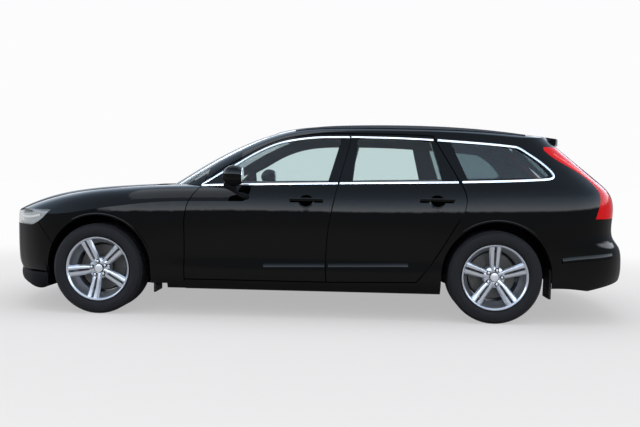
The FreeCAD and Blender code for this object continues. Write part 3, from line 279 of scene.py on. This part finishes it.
# Headlamps: a clear moulded lens over a bright reflector, with a white light bar across it and a black mask above.
# The bar and the mask are strips fixed on the reflector, behind the lens.
# The lens only glints, the reflector is a soft silver, the bar plain white and the mask dull.
clear_lens = surface("moulded clear polycarbonate", "#F7F9FA", 0.0, Transmission_Weight=1.0, IOR=1.3)
reflector = surface("aluminised lamp reflector", "#B4BABF", 0.35, metallic=0.35)
lamp_bar = surface("white acrylic light bar", "#FFFFFF", 0.3)
lamp_mask = surface("textured black lamp mask", "#17191C", 0.4)
coat_nodes(clear_lens, "headlamps")
coat_nodes(reflector, "lamp_housings")
BAR = (0.016, 0.008)
MASK = (0.018, 0.006)
bead("lamp_bar_left", "lamp_housings", [(-2.300, 0.7080), (-2.150, 0.7120), (-2.040, 0.7300)], *BAR, lamp_bar,
     "body", LAMP_BURY)
bead("lamp_mask_left", "lamp_housings", [(-2.330, 0.7320), (-2.240, 0.7450), (-2.130, 0.7560)], *MASK, lamp_mask,
     "body", LAMP_BURY)

# Chin: a black moulding that closes the bumper below its intake, deepest just ahead of the wheels.
# It is a sheet bent from the bumper's lower edge round to the plain lip of the CAD, which it stands for.

# Round the nose from the left wheel to the middle: the outer edge with its lowest height, and the inner edge.
CHIN_PLAN = [(-1.955, -0.902, 0.212), (-1.985, -0.893, 0.192), (-2.030, -0.880, 0.176), (-2.105, -0.840, 0.184),
             (-2.151, -0.800, 0.196), (-2.248, -0.700, 0.208), (-2.315, -0.600, 0.219), (-2.380, -0.450, 0.236),
             (-2.417, -0.300, 0.242), (-2.436, -0.150, 0.245), (-2.442, 0.0, 0.246)]
LIP_PLAN = [(-1.962, -0.880), (-1.990, -0.840), (-2.030, -0.830), (-2.090, -0.800), (-2.125, -0.765),
            (-2.195, -0.675), (-2.240, -0.580), (-2.259, -0.440), (-2.270, -0.300), (-2.274, -0.150), (-2.275, 0.0)]
# Down the face and in below: the share of the way in from the outer edge, and of the height.
CHIN_ROWS = [(0.03, 1.0), (-0.03, 0.85), (-0.08, 0.60), (-0.07, 0.30), (0.0, 0.06), (0.12, 0.0), (0.5, -0.02),
             (1.0, -0.03)]
CHIN_TOP = 0.298
CHIN_WALL = 0.006
chin_rows = []
for share, height in CHIN_ROWS:
    row = [(a[0] + (b[0] - a[0]) * share, a[1] + (b[1] - a[1]) * share, a[2] + (CHIN_TOP - a[2]) * height)
           for a, b in zip(CHIN_PLAN, LIP_PLAN)]
    chin_rows.append(row + [(x, -y, z) for x, y, z in row[-2::-1]])
chin = sheet_of("bumper_chin", chin_rows)
apply_modifier(chin, "SUBSURF", levels=2)
apply_modifier(chin, "SOLIDIFY", thickness=CHIN_WALL, offset=1.0)
bpy.ops.object.shade_smooth_by_angle(angle=CREASE)
# Grained polypropylene is nearly black and scatters what little it mirrors.
grained_black = surface("grained black polypropylene", "#08080A", 0.6, Specular_IOR_Level=0.05)
chin.data.materials.append(grained_black)
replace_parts(chin, "front_lip")
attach(chin, "body")

# Wheel deflectors: a flat flap of the same moulding ahead of each front tyre, behind the ends of the chin.
# It is a rounded plate that hangs from the wheel arch liner and guides air past the tyre.
DEFLECTOR_SIZE = (CHIN_WALL, 0.340, 0.150)
DEFLECTOR_PLACE = (-1.962, -0.722, 0.268)
DEFLECTOR_EDGE = 0.0025


def settle(obj):
    """Puts a finished piece's place into its mesh."""
    only(obj)
    bpy.ops.object.transform_apply(location=True, rotation=True, scale=True)


bpy.ops.mesh.primitive_cube_add(size=1.0)
deflector = bpy.context.object
deflector.name = "wheel_deflector_left"
deflector.dimensions = DEFLECTOR_SIZE
deflector.location = DEFLECTOR_PLACE
settle(deflector)
apply_modifier(deflector, "BEVEL", width=DEFLECTOR_EDGE, segments=2)
deflector.data.materials.append(grained_black)
both_sides(deflector, "body")

# Grille and lower grille: upright and level bars, injection moulded in one piece each and clipped in the bumper.
# Gloss black ABS shows a thin light edge on each bar.
gloss_black = surface("injection moulded gloss black ABS", "#08080A", 0.15, Specular_IOR_Level=0.2)
coat_nodes(gloss_black, "grilles")

# Rails, scuttle, liners, tray, flaps and the running gear below the floor, each already shaped in the CAD and bolted
# or clipped to the body. They only take the finish that such pieces leave the maker with.
# Anodising dyed dark gives the roof rails a satin grey sheen.
anodised = surface("satin anodised aluminium extrusion", "#3A3C3F", 0.35, metallic=1.0)
# Rubber and primed steel stay dull and dark in the shade below the car.
flap_rubber = surface("moulded black EPDM rubber", "#101012", 0.55, Specular_IOR_Level=0.2)
sheet_steel = surface("zinc-coated steel with dark primer", "#1C1D1F", 0.5, Specular_IOR_Level=0.2)
# Bare castings are matt, the iron darker than the aluminium, and drawn steel tube has a warm grey shine.
cast_alloy = surface("as-cast aluminium", "#6C6C6A", 0.55, metallic=1.0)
cast_iron = surface("shot-blasted cast iron", "#3B3936", 0.6, metallic=1.0)
exhaust_steel = surface("drawn stainless steel tube", "#77736C", 0.35, metallic=1.0)
coat_nodes(anodised, "roof_rails")
coat_nodes(grained_black, "scuttle", "arch_liners", "under_tray")
coat_nodes(flap_rubber, "mud_flaps")
coat_nodes(sheet_steel, "floor_pan", "engine_bay", "front_axle", "rear_axle")
coat_nodes(cast_alloy, "engine_block")
coat_nodes(cast_iron, "knuckle_left", "knuckle_right")
coat_nodes(exhaust_steel, "exhaust")

# Cabin: hide over foam on the seats and bench, a soft dashboard and a carpeted load floor.
# The pads are swollen between their sewn edges and rest on plain covered frames that are bolted to the floor.
# Hide has a low sheen, the slush moulded skin less, and felt carpet none.
hide = surface("grained black cowhide", "#1B1E24", 0.5, Specular_IOR_Level=0.3)
soft_dash = surface("slush moulded black PVC skin", "#15171B", 0.6, Specular_IOR_Level=0.3)
carpet = surface("needle felt carpet", "#1A1A1C", 0.95)
coat_nodes(hide, "front_seats", "rear_bench")
coat_nodes(soft_dash, "dashboard", "steering_wheel")
coat_nodes(carpet, "load_floor")
SEAT_LEAN = 18.0
HEADREST_LEAN = 6.0
BENCH_LEAN = 14.0
SEAT_SIDE = 0.375
SEAT_CROWN = 0.012
FIRM_CROWN = 0.010
PAD_CUTS = 11
EDGE_ROUNDING = 0.13
BASE_EDGE = 0.012


def cushion(name, size, place, lean, crown):
    """A padded block whose faces swell between their edges, leaning back by so many degrees."""
    bpy.ops.mesh.primitive_cube_add(size=2.0)
    pad = bpy.context.object
    pad.name = name
    bpy.ops.object.mode_set(mode="EDIT")
    bpy.ops.mesh.select_all(action="SELECT")
    bpy.ops.mesh.subdivide(number_cuts=PAD_CUTS)
    bpy.ops.object.mode_set(mode="OBJECT")
    half = Vector(size) / 2
    for vertex in pad.data.vertices:
        spot = vertex.co.copy()
        turns = ((spot.x, spot.y, spot.z), (spot.y, spot.z, spot.x), (spot.z, spot.x, spot.y))
        rounded = [c * math.sqrt(max(0.0, 1 - EDGE_ROUNDING * (a * a + b * b))) for c, a, b in turns]
        swell = [(1 - a * a) * (1 - b * b) * crown * c for c, a, b in turns]
        vertex.co = [r * (h - crown) + w for r, h, w in zip(rounded, half, swell)]
    only(pad)
    bpy.ops.object.shade_smooth()
    pad.data.transform(Matrix.Translation(place) @ Matrix.Rotation(math.radians(lean), 4, "Y"))
    pad.data.materials.append(hide)
    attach(pad, "body")


def seat_base(name, size, place):
    """The plain covered frame under a seat."""
    bpy.ops.mesh.primitive_cube_add(size=1.0, location=place)
    base = bpy.context.object
    base.name = name
    base.scale = size
    settle(base)
    apply_modifier(base, "BEVEL", width=BASE_EDGE, segments=3)
    base.data.materials.append(soft_dash)
    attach(base, "body")
    return base


for side, y in (("left", -SEAT_SIDE), ("right", SEAT_SIDE)):
    base = seat_base("seat_base_" + side, (0.43, 0.39, 0.080), (-0.165, y, 0.285))
    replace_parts(base, "front_seats")
    cushion("seat_cushion_" + side, (0.500, 0.500, 0.150), (-0.170, y, 0.405), 0.0, SEAT_CROWN)
    cushion("seat_back_" + side, (0.140, 0.500, 0.610), (0.1895, y, 0.6766), SEAT_LEAN, SEAT_CROWN)
    cushion("seat_headrest_" + side, (0.100, 0.260, 0.180), (0.275, y, 1.090), HEADREST_LEAN, FIRM_CROWN)
bench_base = seat_base("bench_base", (0.38, 1.20, 0.030), (0.640, 0.0, 0.330))
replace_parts(bench_base, "rear_bench")
cushion("bench_cushion", (0.430, 1.280, 0.140), (0.635, 0.0, 0.415), 0.0, FIRM_CROWN)
cushion("bench_back", (0.130, 1.150, 0.458), (1.0235, 0.0, 0.7584), BENCH_LEAN, FIRM_CROWN)

# Door mirrors: a painted shell over a black lower case, on a black foot that sweeps back to the door, with the
# glass let into its rear face.
MIRROR_MIDDLE = (-0.538, -0.950, 1.050)
MIRROR_HALF = (0.076, 0.056, 0.077)
MIRROR_SEAM_Z = 1.022
MIRROR_STRETCH = 1.1
FACE_FROM = 0.72
FACE_CROWN = 0.28
NOSE_TAPER = 0.16
FOOT_HALF_WIDTH = 0.019
PANE_WALL = 0.004
PANE_SHARES = (0.74, 0.78)
PANE_AT = 0.875


def mirror_head():
    """A cube rounded to an egg shape with a flat rear face."""
    bpy.ops.mesh.primitive_cube_add(size=2.0)
    head = bpy.context.object
    head.name = "mirror_head_left"
    apply_modifier(head, "SUBSURF", levels=4)
    widest = max(v.co.x for v in head.data.vertices)
    for vertex in head.data.vertices:
        x, y, z = (c / widest for c in vertex.co)
        x = min(x, FACE_FROM) + FACE_CROWN * (x > FACE_FROM) * (x - FACE_FROM)
        taper = 1.0 - NOSE_TAPER * (x < 0) * x * x
        vertex.co = [m + h * c * t for m, h, c, t in
                     zip(MIRROR_MIDDLE, MIRROR_HALF, (x * MIRROR_STRETCH, y, z), (1, taper, taper))]
    head.data.materials.append(car_paint)
    head.data.materials.append(grained_black)
    for face in head.data.polygons:
        face.material_index = int(face.center.z < MIRROR_SEAM_Z)
    only(head)
    bpy.ops.object.shade_smooth()
    return head


# Down the foot and back to the door skin: the middle of each ring, half its breadth and its lean in degrees.
FOOT_SPINE = [(-0.5675, -0.950, 1.010, 0.050, 0), (-0.5660, -0.949, 0.965, 0.051, 4),
              (-0.5450, -0.944, 0.928, 0.048, 25), (-0.4990, -0.930, 0.906, 0.036, 55),
              (-0.4250, -0.905, 0.896, 0.023, 82)]


def foot_rows():
    """Rings of points along the mirror's foot, from the case down and back to the door skin."""
    rows = []
    for x, y, z, half, lean in FOOT_SPINE:
        ring = [math.radians(30 * i) for i in range(13)]
        rows.append([(x + half * math.cos(a) * math.cos(math.radians(lean)), y + FOOT_HALF_WIDTH * math.sin(a),
                      z - half * math.cos(a) * math.sin(math.radians(lean))) for a in ring])
    return rows


foot = sheet_of("mirror_foot_left", foot_rows())
apply_modifier(foot, "WELD", merge_threshold=0.0005)
bpy.ops.object.mode_set(mode="EDIT")
bpy.ops.mesh.select_all(action="SELECT")
bpy.ops.mesh.region_to_loop()
bpy.ops.mesh.edge_face_add()
bpy.ops.mesh.select_all(action="SELECT")
bpy.ops.mesh.normals_make_consistent(inside=False)
bpy.ops.object.mode_set(mode="OBJECT")
apply_modifier(foot, "SUBSURF", levels=2)
bpy.ops.object.shade_smooth()
foot.data.materials.append(grained_black)
both_sides(foot, "front_door_left")
# Silvering behind glass gives the clearest mirror on the car.
silvered = surface("silvered mirror glass", "#C8D2DA", 0.02, metallic=1.0)
bpy.ops.mesh.primitive_cylinder_add(vertices=48, radius=1.0, depth=PANE_WALL, rotation=(0, math.pi / 2, 0))
pane = bpy.context.object
pane.name = "mirror_glass_left"
pane.scale = (MIRROR_HALF[2] * PANE_SHARES[0], MIRROR_HALF[1] * PANE_SHARES[1], 1.0)
settle(pane)
pane_x = MIRROR_MIDDLE[0] + MIRROR_HALF[0] * PANE_AT
pane.data.transform(Matrix.Translation((pane_x, MIRROR_MIDDLE[1], MIRROR_MIDDLE[2])))
pane.data.materials.append(silvered)
both_sides(pane, "front_door_left")
head = mirror_head()
both_sides(head, "front_door_left")
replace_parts(head, "mirror_left")
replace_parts(bpy.data.objects["mirror_head_right"], "mirror_right")

# Tyres: moulded black rubber, 245 mm wide, with five rows of tread blocks and a plain side wall.
# Each is spun from one section and its blocks are raised, and it stands for the plainer CAD tyre.
AXLES = {"front": -1.568, "rear": 1.373}
TRACK_HALF = 0.814
WHEEL_RADIUS = 0.339
TREAD_BASE = 0.3325
TREAD_STEPS = 132
# A groove is this deep, and its floor starts and ends this far past the rib before it.
GROOVE_DEPTH = 0.007
GROOVE_FLOOR = (0.0015, 0.0035)
BLOCK_GAP = 0.0014
BLOCK_HEIGHT = 0.0064
# What counts as the top of a rib: close to the tread's radius, and level.
RIB_MARGIN = 0.002
RIB_TILT = 0.2
SHOULDER_BAND = (0.318, 0.3285)
SHOULDER_FROM_Y = 0.1
SHOULDER_GAP = 0.002
SHOULDER_HEIGHT = 0.0012


def ring_from(name, section, steps, smooth=30):
    """A ring about the Y axis, spun from a closed section of (radius, y) points."""
    bpy.ops.mesh.primitive_circle_add(vertices=len(section), radius=1.0, fill_type="NOTHING")
    obj = bpy.context.object
    obj.name = name
    only(obj)
    for vertex, (radius, y) in zip(obj.data.vertices, section):
        vertex.co = (0.0, y, radius)
    bpy.ops.object.mode_set(mode="EDIT")
    bpy.ops.mesh.select_all(action="SELECT")
    bpy.ops.mesh.spin(steps=steps, angle=2 * math.pi, center=(0, 0, 0), axis=(0, 1, 0))
    bpy.ops.mesh.select_all(action="SELECT")
    bpy.ops.mesh.remove_doubles(threshold=0.00002)
    bpy.ops.mesh.normals_make_consistent(inside=False)
    bpy.ops.object.mode_set(mode="OBJECT")
    bpy.ops.object.shade_smooth_by_angle(angle=math.radians(smooth))
    return obj


def place_wheel_part(part, end, side, turn=0.0, body=None):
    """A copy of a wheel piece, made for the left with its outside at -Y, at one corner of the car."""
    copy = part.copy()
    copy.data = part.data.copy()
    bpy.context.collection.objects.link(copy)
    copy.name = part.name + "_" + end + "_" + side
    flip = Matrix.Scale(-1 if side == "right" else 1, 4, (0, 1, 0))
    y = TRACK_HALF if side == "right" else -TRACK_HALF
    spin = Matrix.Rotation(-math.radians(turn), 4, "Y")
    copy.data.transform(Matrix.Translation((AXLES[end], y, WHEEL_RADIUS)) @ flip @ spin)
    if side == "right":
        copy.data.flip_normals()
    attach(copy, body or "wheel_" + end + "_" + side)
    return copy


def select_faces(obj, chosen):
    """Selects just the faces for which chosen(face) is true."""
    bpy.ops.object.mode_set(mode="EDIT")
    bpy.ops.mesh.select_mode(type="FACE")
    bpy.ops.mesh.select_all(action="DESELECT")
    bpy.ops.object.mode_set(mode="OBJECT")
    for face in obj.data.polygons:
        face.select = chosen(face)
    bpy.ops.object.mode_set(mode="EDIT")


RIB_EDGES = [(-0.100, -0.066), (-0.061, -0.026), (-0.021, 0.021), (0.026, 0.061), (0.066, 0.100)]
SIDE_WALL = [(0.316, 0.1185), (0.300, 0.1215), (0.279, 0.1225), (0.262, 0.1185), (0.250, 0.112), (0.244, 0.105),
             (0.229, 0.1025)]
tread = []
for low, high in RIB_EDGES:
    tread += [(TREAD_BASE, low), (TREAD_BASE, high)]
    tread += [(TREAD_BASE - GROOVE_DEPTH, high + past) for past in GROOVE_FLOOR]
section = [(r, -y) for r, y in reversed(SIDE_WALL)] + tread[:-2] + SIDE_WALL
tyre = ring_from("tyre_shape", section, TREAD_STEPS, 24)


def on_tread(face):
    """Whether a face is the top of a rib, out of the grooves."""
    radius = math.hypot(face.center.x, face.center.z)
    return radius > TREAD_BASE - RIB_MARGIN and abs(face.normal.y) < RIB_TILT


def on_shoulder(face):
    """Whether a face is one of the ring between the tread and the side wall."""
    radius = math.hypot(face.center.x, face.center.z)
    return SHOULDER_BAND[0] < radius < SHOULDER_BAND[1] and abs(face.center.y) > SHOULDER_FROM_Y


only(tyre)
select_faces(tyre, on_tread)
bpy.ops.mesh.inset(thickness=BLOCK_GAP, depth=BLOCK_HEIGHT, use_individual=True)
bpy.ops.object.mode_set(mode="OBJECT")
select_faces(tyre, on_shoulder)
bpy.ops.mesh.inset(thickness=SHOULDER_GAP, depth=SHOULDER_HEIGHT, use_individual=True)
bpy.ops.object.mode_set(mode="OBJECT")
# Moulded tyre rubber is a dull grey black that scatters light all over.
tyre_rubber = surface("moulded black tyre rubber", "#131316", 0.75, Specular_IOR_Level=0.2)
tyre.data.materials.append(tyre_rubber)

# Rims: cast aluminium, turned and lacquered, with five double spokes between a hub and a thin barrel.
# The barrel and hub are spun, each spoke is bent over its rows of points and turned to its place, and all are joined
# in one piece that stands for the CAD rim.
BARREL_SECTION = [
    (0.2285, 0.107), (0.2245, 0.107), (0.219, 0.096), (0.205, 0.080), (0.196, 0.060), (0.196, -0.030),
    (0.214, -0.052), (0.2265, -0.078), (0.2275, -0.1025), (0.2285, -0.107), (0.2385, -0.1085), (0.2400, -0.111),
    (0.2385, -0.1135), (0.2335, -0.1135), (0.2255, -0.1075), (0.2225, -0.101), (0.2205, -0.080), (0.208, -0.052),
    (0.190, -0.028), (0.190, 0.062), (0.199, 0.083), (0.214, 0.099), (0.219, 0.110)]
HUB_SECTION = [
    (0.030, -0.070), (0.034, -0.0795), (0.046, -0.082), (0.066, -0.080), (0.078, -0.072), (0.082, -0.050),
    (0.080, -0.016), (0.036, -0.016), (0.036, -0.036), (0.030, -0.040)]
barrel = ring_from("rim_barrel", BARREL_SECTION[::-1], 96)
# Turned aluminium under lacquer is a light silver whose faces mirror the room softly.
cast_silver = surface("turned and lacquered cast aluminium", "#AEB2B9", 0.28, metallic=0.75)
barrel.data.materials.append(cast_silver)
hub = ring_from("rim_hub", HUB_SECTION[::-1], 60)
hub.data.materials.append(cast_silver)

# Along a spoke: distance from the hub, its inner and outer edge off the middle of the pair, and its face.
SPOKE_STATIONS = [(0.036, 0.0030, 0.0230, -0.0815), (0.062, 0.0035, 0.0300, -0.0865),
                  (0.100, 0.0050, 0.0375, -0.0905), (0.150, 0.0058, 0.0415, -0.0960),
                  (0.195, 0.0062, 0.0440, -0.1020), (0.2235, 0.0062, 0.0465, -0.1075)]
SPOKE_DEPTH = 0.026
SPOKE_PAIRS = 5


def spoke_rows(hand):
    """Rows of points over one spoke of a pair: steep into the slot, a flat face, then a slope to its outer edge."""
    rows = []
    for radius, inner, outer, y in SPOKE_STATIONS:
        wide = outer - inner
        profile = [(inner, y + 0.016), (inner + 0.003, y + 0.001), (inner + 0.10 * wide, y), (inner + 0.62 * wide, y),
                   (inner + 0.70 * wide, y + 0.001), (outer, y + 0.015)]
        rows.append([(hand * across, depth, radius) for across, depth in profile[::hand]])
    return rows


spokes = []
for pair in range(SPOKE_PAIRS):
    for hand in (-1, 1):
        spoke = sheet_of("rim_spoke", spoke_rows(hand))
        apply_modifier(spoke, "SOLIDIFY", thickness=SPOKE_DEPTH, offset=-1.0, use_even_offset=False)
        bpy.ops.object.mode_set(mode="EDIT")
        bpy.ops.mesh.select_all(action="SELECT")
        bpy.ops.mesh.normals_make_consistent(inside=False)
        bpy.ops.object.mode_set(mode="OBJECT")
        spoke.data.transform(Matrix.Rotation(math.radians(90 + 360 / SPOKE_PAIRS * pair), 4, "Y"))
        spoke.data.materials.append(cast_silver)
        spokes.append(spoke)
bpy.ops.object.select_all(action="DESELECT")
for piece in spokes + [hub, barrel]:
    piece.select_set(True)
bpy.context.view_layer.objects.active = barrel
bpy.ops.object.join()
rim = barrel
rim.name = "rim_shape"
only(rim)
bpy.ops.object.shade_smooth_by_angle(angle=math.radians(32))

# Wheel bolts and centre cap: five plated hexagon bolts between the spokes, each on a black disc of painted shade for
# the dark of its recess, and a plain round cap pressed over the bore on a ring of the same painted shade. Each is a
# bevelled cylinder, and all are joined and copied to every wheel.
# Zinc plating is a bright cool grey, and the flat black of the painted shade sets the bolts off.
BOLT_CIRCLE = 0.054
BOLTS = 5
# Each one's sides, radius, depth, place along the axle and bevel.
BOLT_SHADE_DISC = (32, 0.0150, 0.012, -0.0835, 0.001)
BOLT_HEAD = (6, 0.0100, 0.016, -0.0865, 0.0015)
CAP_SHADE_RING = (48, 0.0345, 0.008, -0.0815, 0.001)
CAP = (48, 0.0310, 0.016, -0.0805, 0.003)
plated_steel = surface("zinc-plated steel", "#C9CCD2", 0.3, metallic=0.6)
# The discs under the bolts and the ring round the cap are painted shade: flat black for the dark of their recesses.
recess_shade_black = surface("matt black paint in the bolt sockets", "#0A0A0B", 0.8, Specular_IOR_Level=0.1)


def wheel_stud(shape, mat, x=0.0, z=0.0):
    """A bevelled round or six-sided piece that faces out of the wheel."""
    sides, radius, depth, y, bevel = shape
    bpy.ops.mesh.primitive_cylinder_add(vertices=sides, radius=radius, depth=depth, rotation=(math.pi / 2, 0, 0),
                                        location=(x, y, z))
    stud = bpy.context.object
    apply_modifier(stud, "BEVEL", width=bevel, segments=2, limit_method="ANGLE")
    settle(stud)
    stud.data.materials.append(mat)
    return stud


bolts = []
for i in range(BOLTS):
    turn = math.radians(90 + 180 / BOLTS + 360 / BOLTS * i)
    x = BOLT_CIRCLE * math.cos(turn)
    z = BOLT_CIRCLE * math.sin(turn)
    bolts.append(wheel_stud(BOLT_SHADE_DISC, recess_shade_black, x, z))
    bolts.append(wheel_stud(BOLT_HEAD, plated_steel, x, z))
cap = wheel_stud(CAP, plated_steel)
bolts.append(wheel_stud(CAP_SHADE_RING, recess_shade_black))
bpy.ops.object.select_all(action="DESELECT")
for piece in bolts + [cap]:
    piece.select_set(True)
bpy.context.view_layer.objects.active = cap
bpy.ops.object.join()
cap.name = "wheel_fixings"
bpy.ops.object.shade_smooth_by_angle(angle=math.radians(30))

# Brake discs: cast iron, turned bright on the faces by the pads, with a pressed steel dust shield behind each, fixed
# to the knuckle in front and to the axle at the rear. Here the tyre, rim and bolts go on each corner too.
# Worn iron has a dark warm shine.
FRONT_TURN = 43.0
REAR_TURN = 90.0
SHIELD_SECTION = [(0.060, 0.045), (0.186, 0.045), (0.186, 0.049), (0.060, 0.049)]
disc_iron = surface("turned cast iron", "#4A4947", 0.45, metallic=0.7)
for end in AXLES:
    for side in ("left", "right"):
        coat_nodes(disc_iron, "disc_" + end + "_" + side)
        turn = FRONT_TURN if end == "front" else REAR_TURN
        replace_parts(place_wheel_part(tyre, end, side, turn), "tyre_" + end + "_" + side)
        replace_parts(place_wheel_part(rim, end, side, turn), "rim_" + end + "_" + side)
        place_wheel_part(cap, end, side, turn)
dust_shield = ring_from("dust_shield", SHIELD_SECTION, 64)
dust_shield.data.materials.append(sheet_steel)
for end in AXLES:
    for side in ("left", "right"):
        place_wheel_part(dust_shield, end, side, body="knuckle_" + side if end == "front" else "body")
for template in (tyre, rim, cap, dust_shield):
    bpy.data.objects.remove(template)

# Floor and light: a plain pale studio floor that pales into a white room, a broad soft lamp above, and, for what
# the lacquer mirrors, a dim room with a long bright window of sky over its lower walls.
# Round the car the floor is lit and holds its shadow, but a share of it glows there too: painted light that pales the
# shadow under and beside the car. Further off it glows up to the white of the room.
FLOOR_WIDE = 160.0
FLOOR_SQUEEZE = (0.7, 1.0, 1.0)
FADE_FROM = 1.7
FADE_TO = 5.0
# Near the car this share of what is seen of the floor glows: painted light that pales the car's shadow.
NEAR_GLOW = 0.55
NEAR_STRENGTH = 0.80
FAR_STRENGTH = 0.99
ROOM_LIGHT = 0.72
ROOM_SEEN = 1.0
MIRRORED_STRENGTH = 8.5
# The room that the lacquer mirrors, from the horizon up to the ceiling.
MIRRORED_ROOM = [(0.0, "#484C52"), (0.20, "#464B50"), (0.245, "#F2F8FF"), (0.42, "#B4C4D6"), (0.60, "#8090A2"),
                 (0.80, "#66717F"), (1.0, "#606974")]


def seen_straight(mat):
    """1 for rays from the camera, or from it through glass, and 0 for all others."""
    path = add_node(mat, "ShaderNodeLightPath")
    both = {0: path.outputs["Is Camera Ray"], 1: path.outputs["Is Transmission Ray"]}
    return add_node(mat, "ShaderNodeMath", both, operation="MAXIMUM").outputs[0]


bpy.ops.mesh.primitive_plane_add(size=FLOOR_WIDE, location=(0, 0, 0))
floor = bpy.context.object
floor.name = "studio_floor"
floor_paint = surface("matt white studio floor", "#F2F2F3", 0.95, Specular_IOR_Level=0.0)
floor.data.materials.append(floor_paint)
place = add_node(floor_paint, "ShaderNodeTexCoord")
squeezed = add_node(floor_paint, "ShaderNodeVectorMath", {0: place.outputs["Object"], 1: FLOOR_SQUEEZE},
                    operation="MULTIPLY")
away = add_node(floor_paint, "ShaderNodeVectorMath", {0: squeezed.outputs[0]}, operation="LENGTH")
far_off = add_node(floor_paint, "ShaderNodeMapRange", {0: away.outputs["Value"], 1: FADE_FROM, 2: FADE_TO,
                   3: NEAR_GLOW, 4: 1.0}, interpolation_type="SMOOTHSTEP")
share = add_node(floor_paint, "ShaderNodeMath", {0: far_off.outputs[0], 1: seen_straight(floor_paint)},
                 operation="MULTIPLY")
brighter = add_node(floor_paint, "ShaderNodeMapRange", {0: far_off.outputs[0], 1: NEAR_GLOW, 2: 1.0,
                    3: NEAR_STRENGTH, 4: FAR_STRENGTH})
glow = add_node(floor_paint, "ShaderNodeEmission", {"Color": srgb("#FEFEFF"), "Strength": brighter.outputs[0]})
mixed = add_node(floor_paint, "ShaderNodeMixShader", {0: share.outputs[0],
                 1: floor_paint.node_tree.nodes["Principled BSDF"].outputs[0], 2: glow.outputs[0]})
floor_paint.node_tree.links.new(mixed.outputs[0], floor_paint.node_tree.nodes["Material Output"].inputs["Surface"])

world = bpy.data.worlds.new("white room")
bpy.context.scene.world = world
world.use_nodes = True
tree = world.node_tree
plain = add_node(world, "ShaderNodeMapRange", {0: seen_straight(world), 3: ROOM_LIGHT, 4: ROOM_SEEN})
tree.links.new(plain.outputs[0], tree.nodes["Background"].inputs["Strength"])
tree.nodes["Background"].inputs["Color"].default_value = srgb("#FCFCFD")
aim = add_node(world, "ShaderNodeTexCoord")
height = add_node(world, "ShaderNodeSeparateXYZ", {0: aim.outputs["Generated"]})
walls = add_node(world, "ShaderNodeValToRGB", {0: height.outputs["Z"]})
stops = walls.color_ramp.elements
while len(stops) < len(MIRRORED_ROOM):
    stops.new(1.0)
for stop, (at, code) in zip(stops, MIRRORED_ROOM):
    stop.position = at
    stop.color = srgb(code)
shine = add_node(world, "ShaderNodeBackground", {"Color": walls.outputs[0], "Strength": MIRRORED_STRENGTH})
ray = add_node(world, "ShaderNodeLightPath")
mirrored = add_node(world, "ShaderNodeMath", {0: ray.outputs["Is Glossy Ray"], 1: ray.outputs["Is Transmission Ray"]},
                    operation="SUBTRACT", use_clamp=True)
mix = add_node(world, "ShaderNodeMixShader", {0: mirrored.outputs[0],
               1: tree.nodes["Background"].outputs[0], 2: shine.outputs[0]})
tree.links.new(mix.outputs[0], tree.nodes["World Output"].inputs["Surface"])


def softbox(name, place, size, power, aim):
    """A rectangular studio lamp that points at aim."""
    bpy.ops.object.light_add(type="AREA", location=place)
    lamp = bpy.context.object
    lamp.name = name
    lamp.data.shape = "RECTANGLE"
    lamp.data.size = size[0]
    lamp.data.size_y = size[1]
    lamp.data.energy = power
    lamp.rotation_euler = (Vector(aim) - Vector(place)).to_track_quat("-Z", "Y").to_euler()


LAMP_HEIGHT = 5.5
LAMP_SIZE = (7.0, 4.0)
LAMP_POWER = 150
softbox("ceiling light", (0, 0, LAMP_HEIGHT), LAMP_SIZE, LAMP_POWER, (0, 0, 0))

# Camera: at the photograph's distance and height, level with the car's waist on its left side, and turned a little
# towards the nose and down. It leans by less than one degree, as the photograph's own did.
CAMERA_PLACE = (0.340, -5.434, 1.036)
LENS = 34.816
SENSOR = 36.0
YAW = -0.054
PITCH = -0.056
ROLL = 0.015
ahead = Vector((math.sin(YAW) * math.cos(PITCH), math.cos(YAW) * math.cos(PITCH), math.sin(PITCH)))
right = Vector((math.cos(YAW), -math.sin(YAW), 0))
up = right.cross(ahead)
rolled_right = right * math.cos(ROLL) + up * math.sin(ROLL)
rolled_up = up * math.cos(ROLL) - right * math.sin(ROLL)
bpy.ops.object.camera_add()
camera = bpy.context.object
turn = Matrix((rolled_right, rolled_up, -ahead)).transposed().to_4x4()
camera.matrix_world = Matrix.Translation(CAMERA_PLACE) @ turn
camera.data.sensor_width = SENSOR
camera.data.lens = LENS
bpy.context.scene.camera = camera
bpy.context.scene.view_settings.view_transform = "Standard"
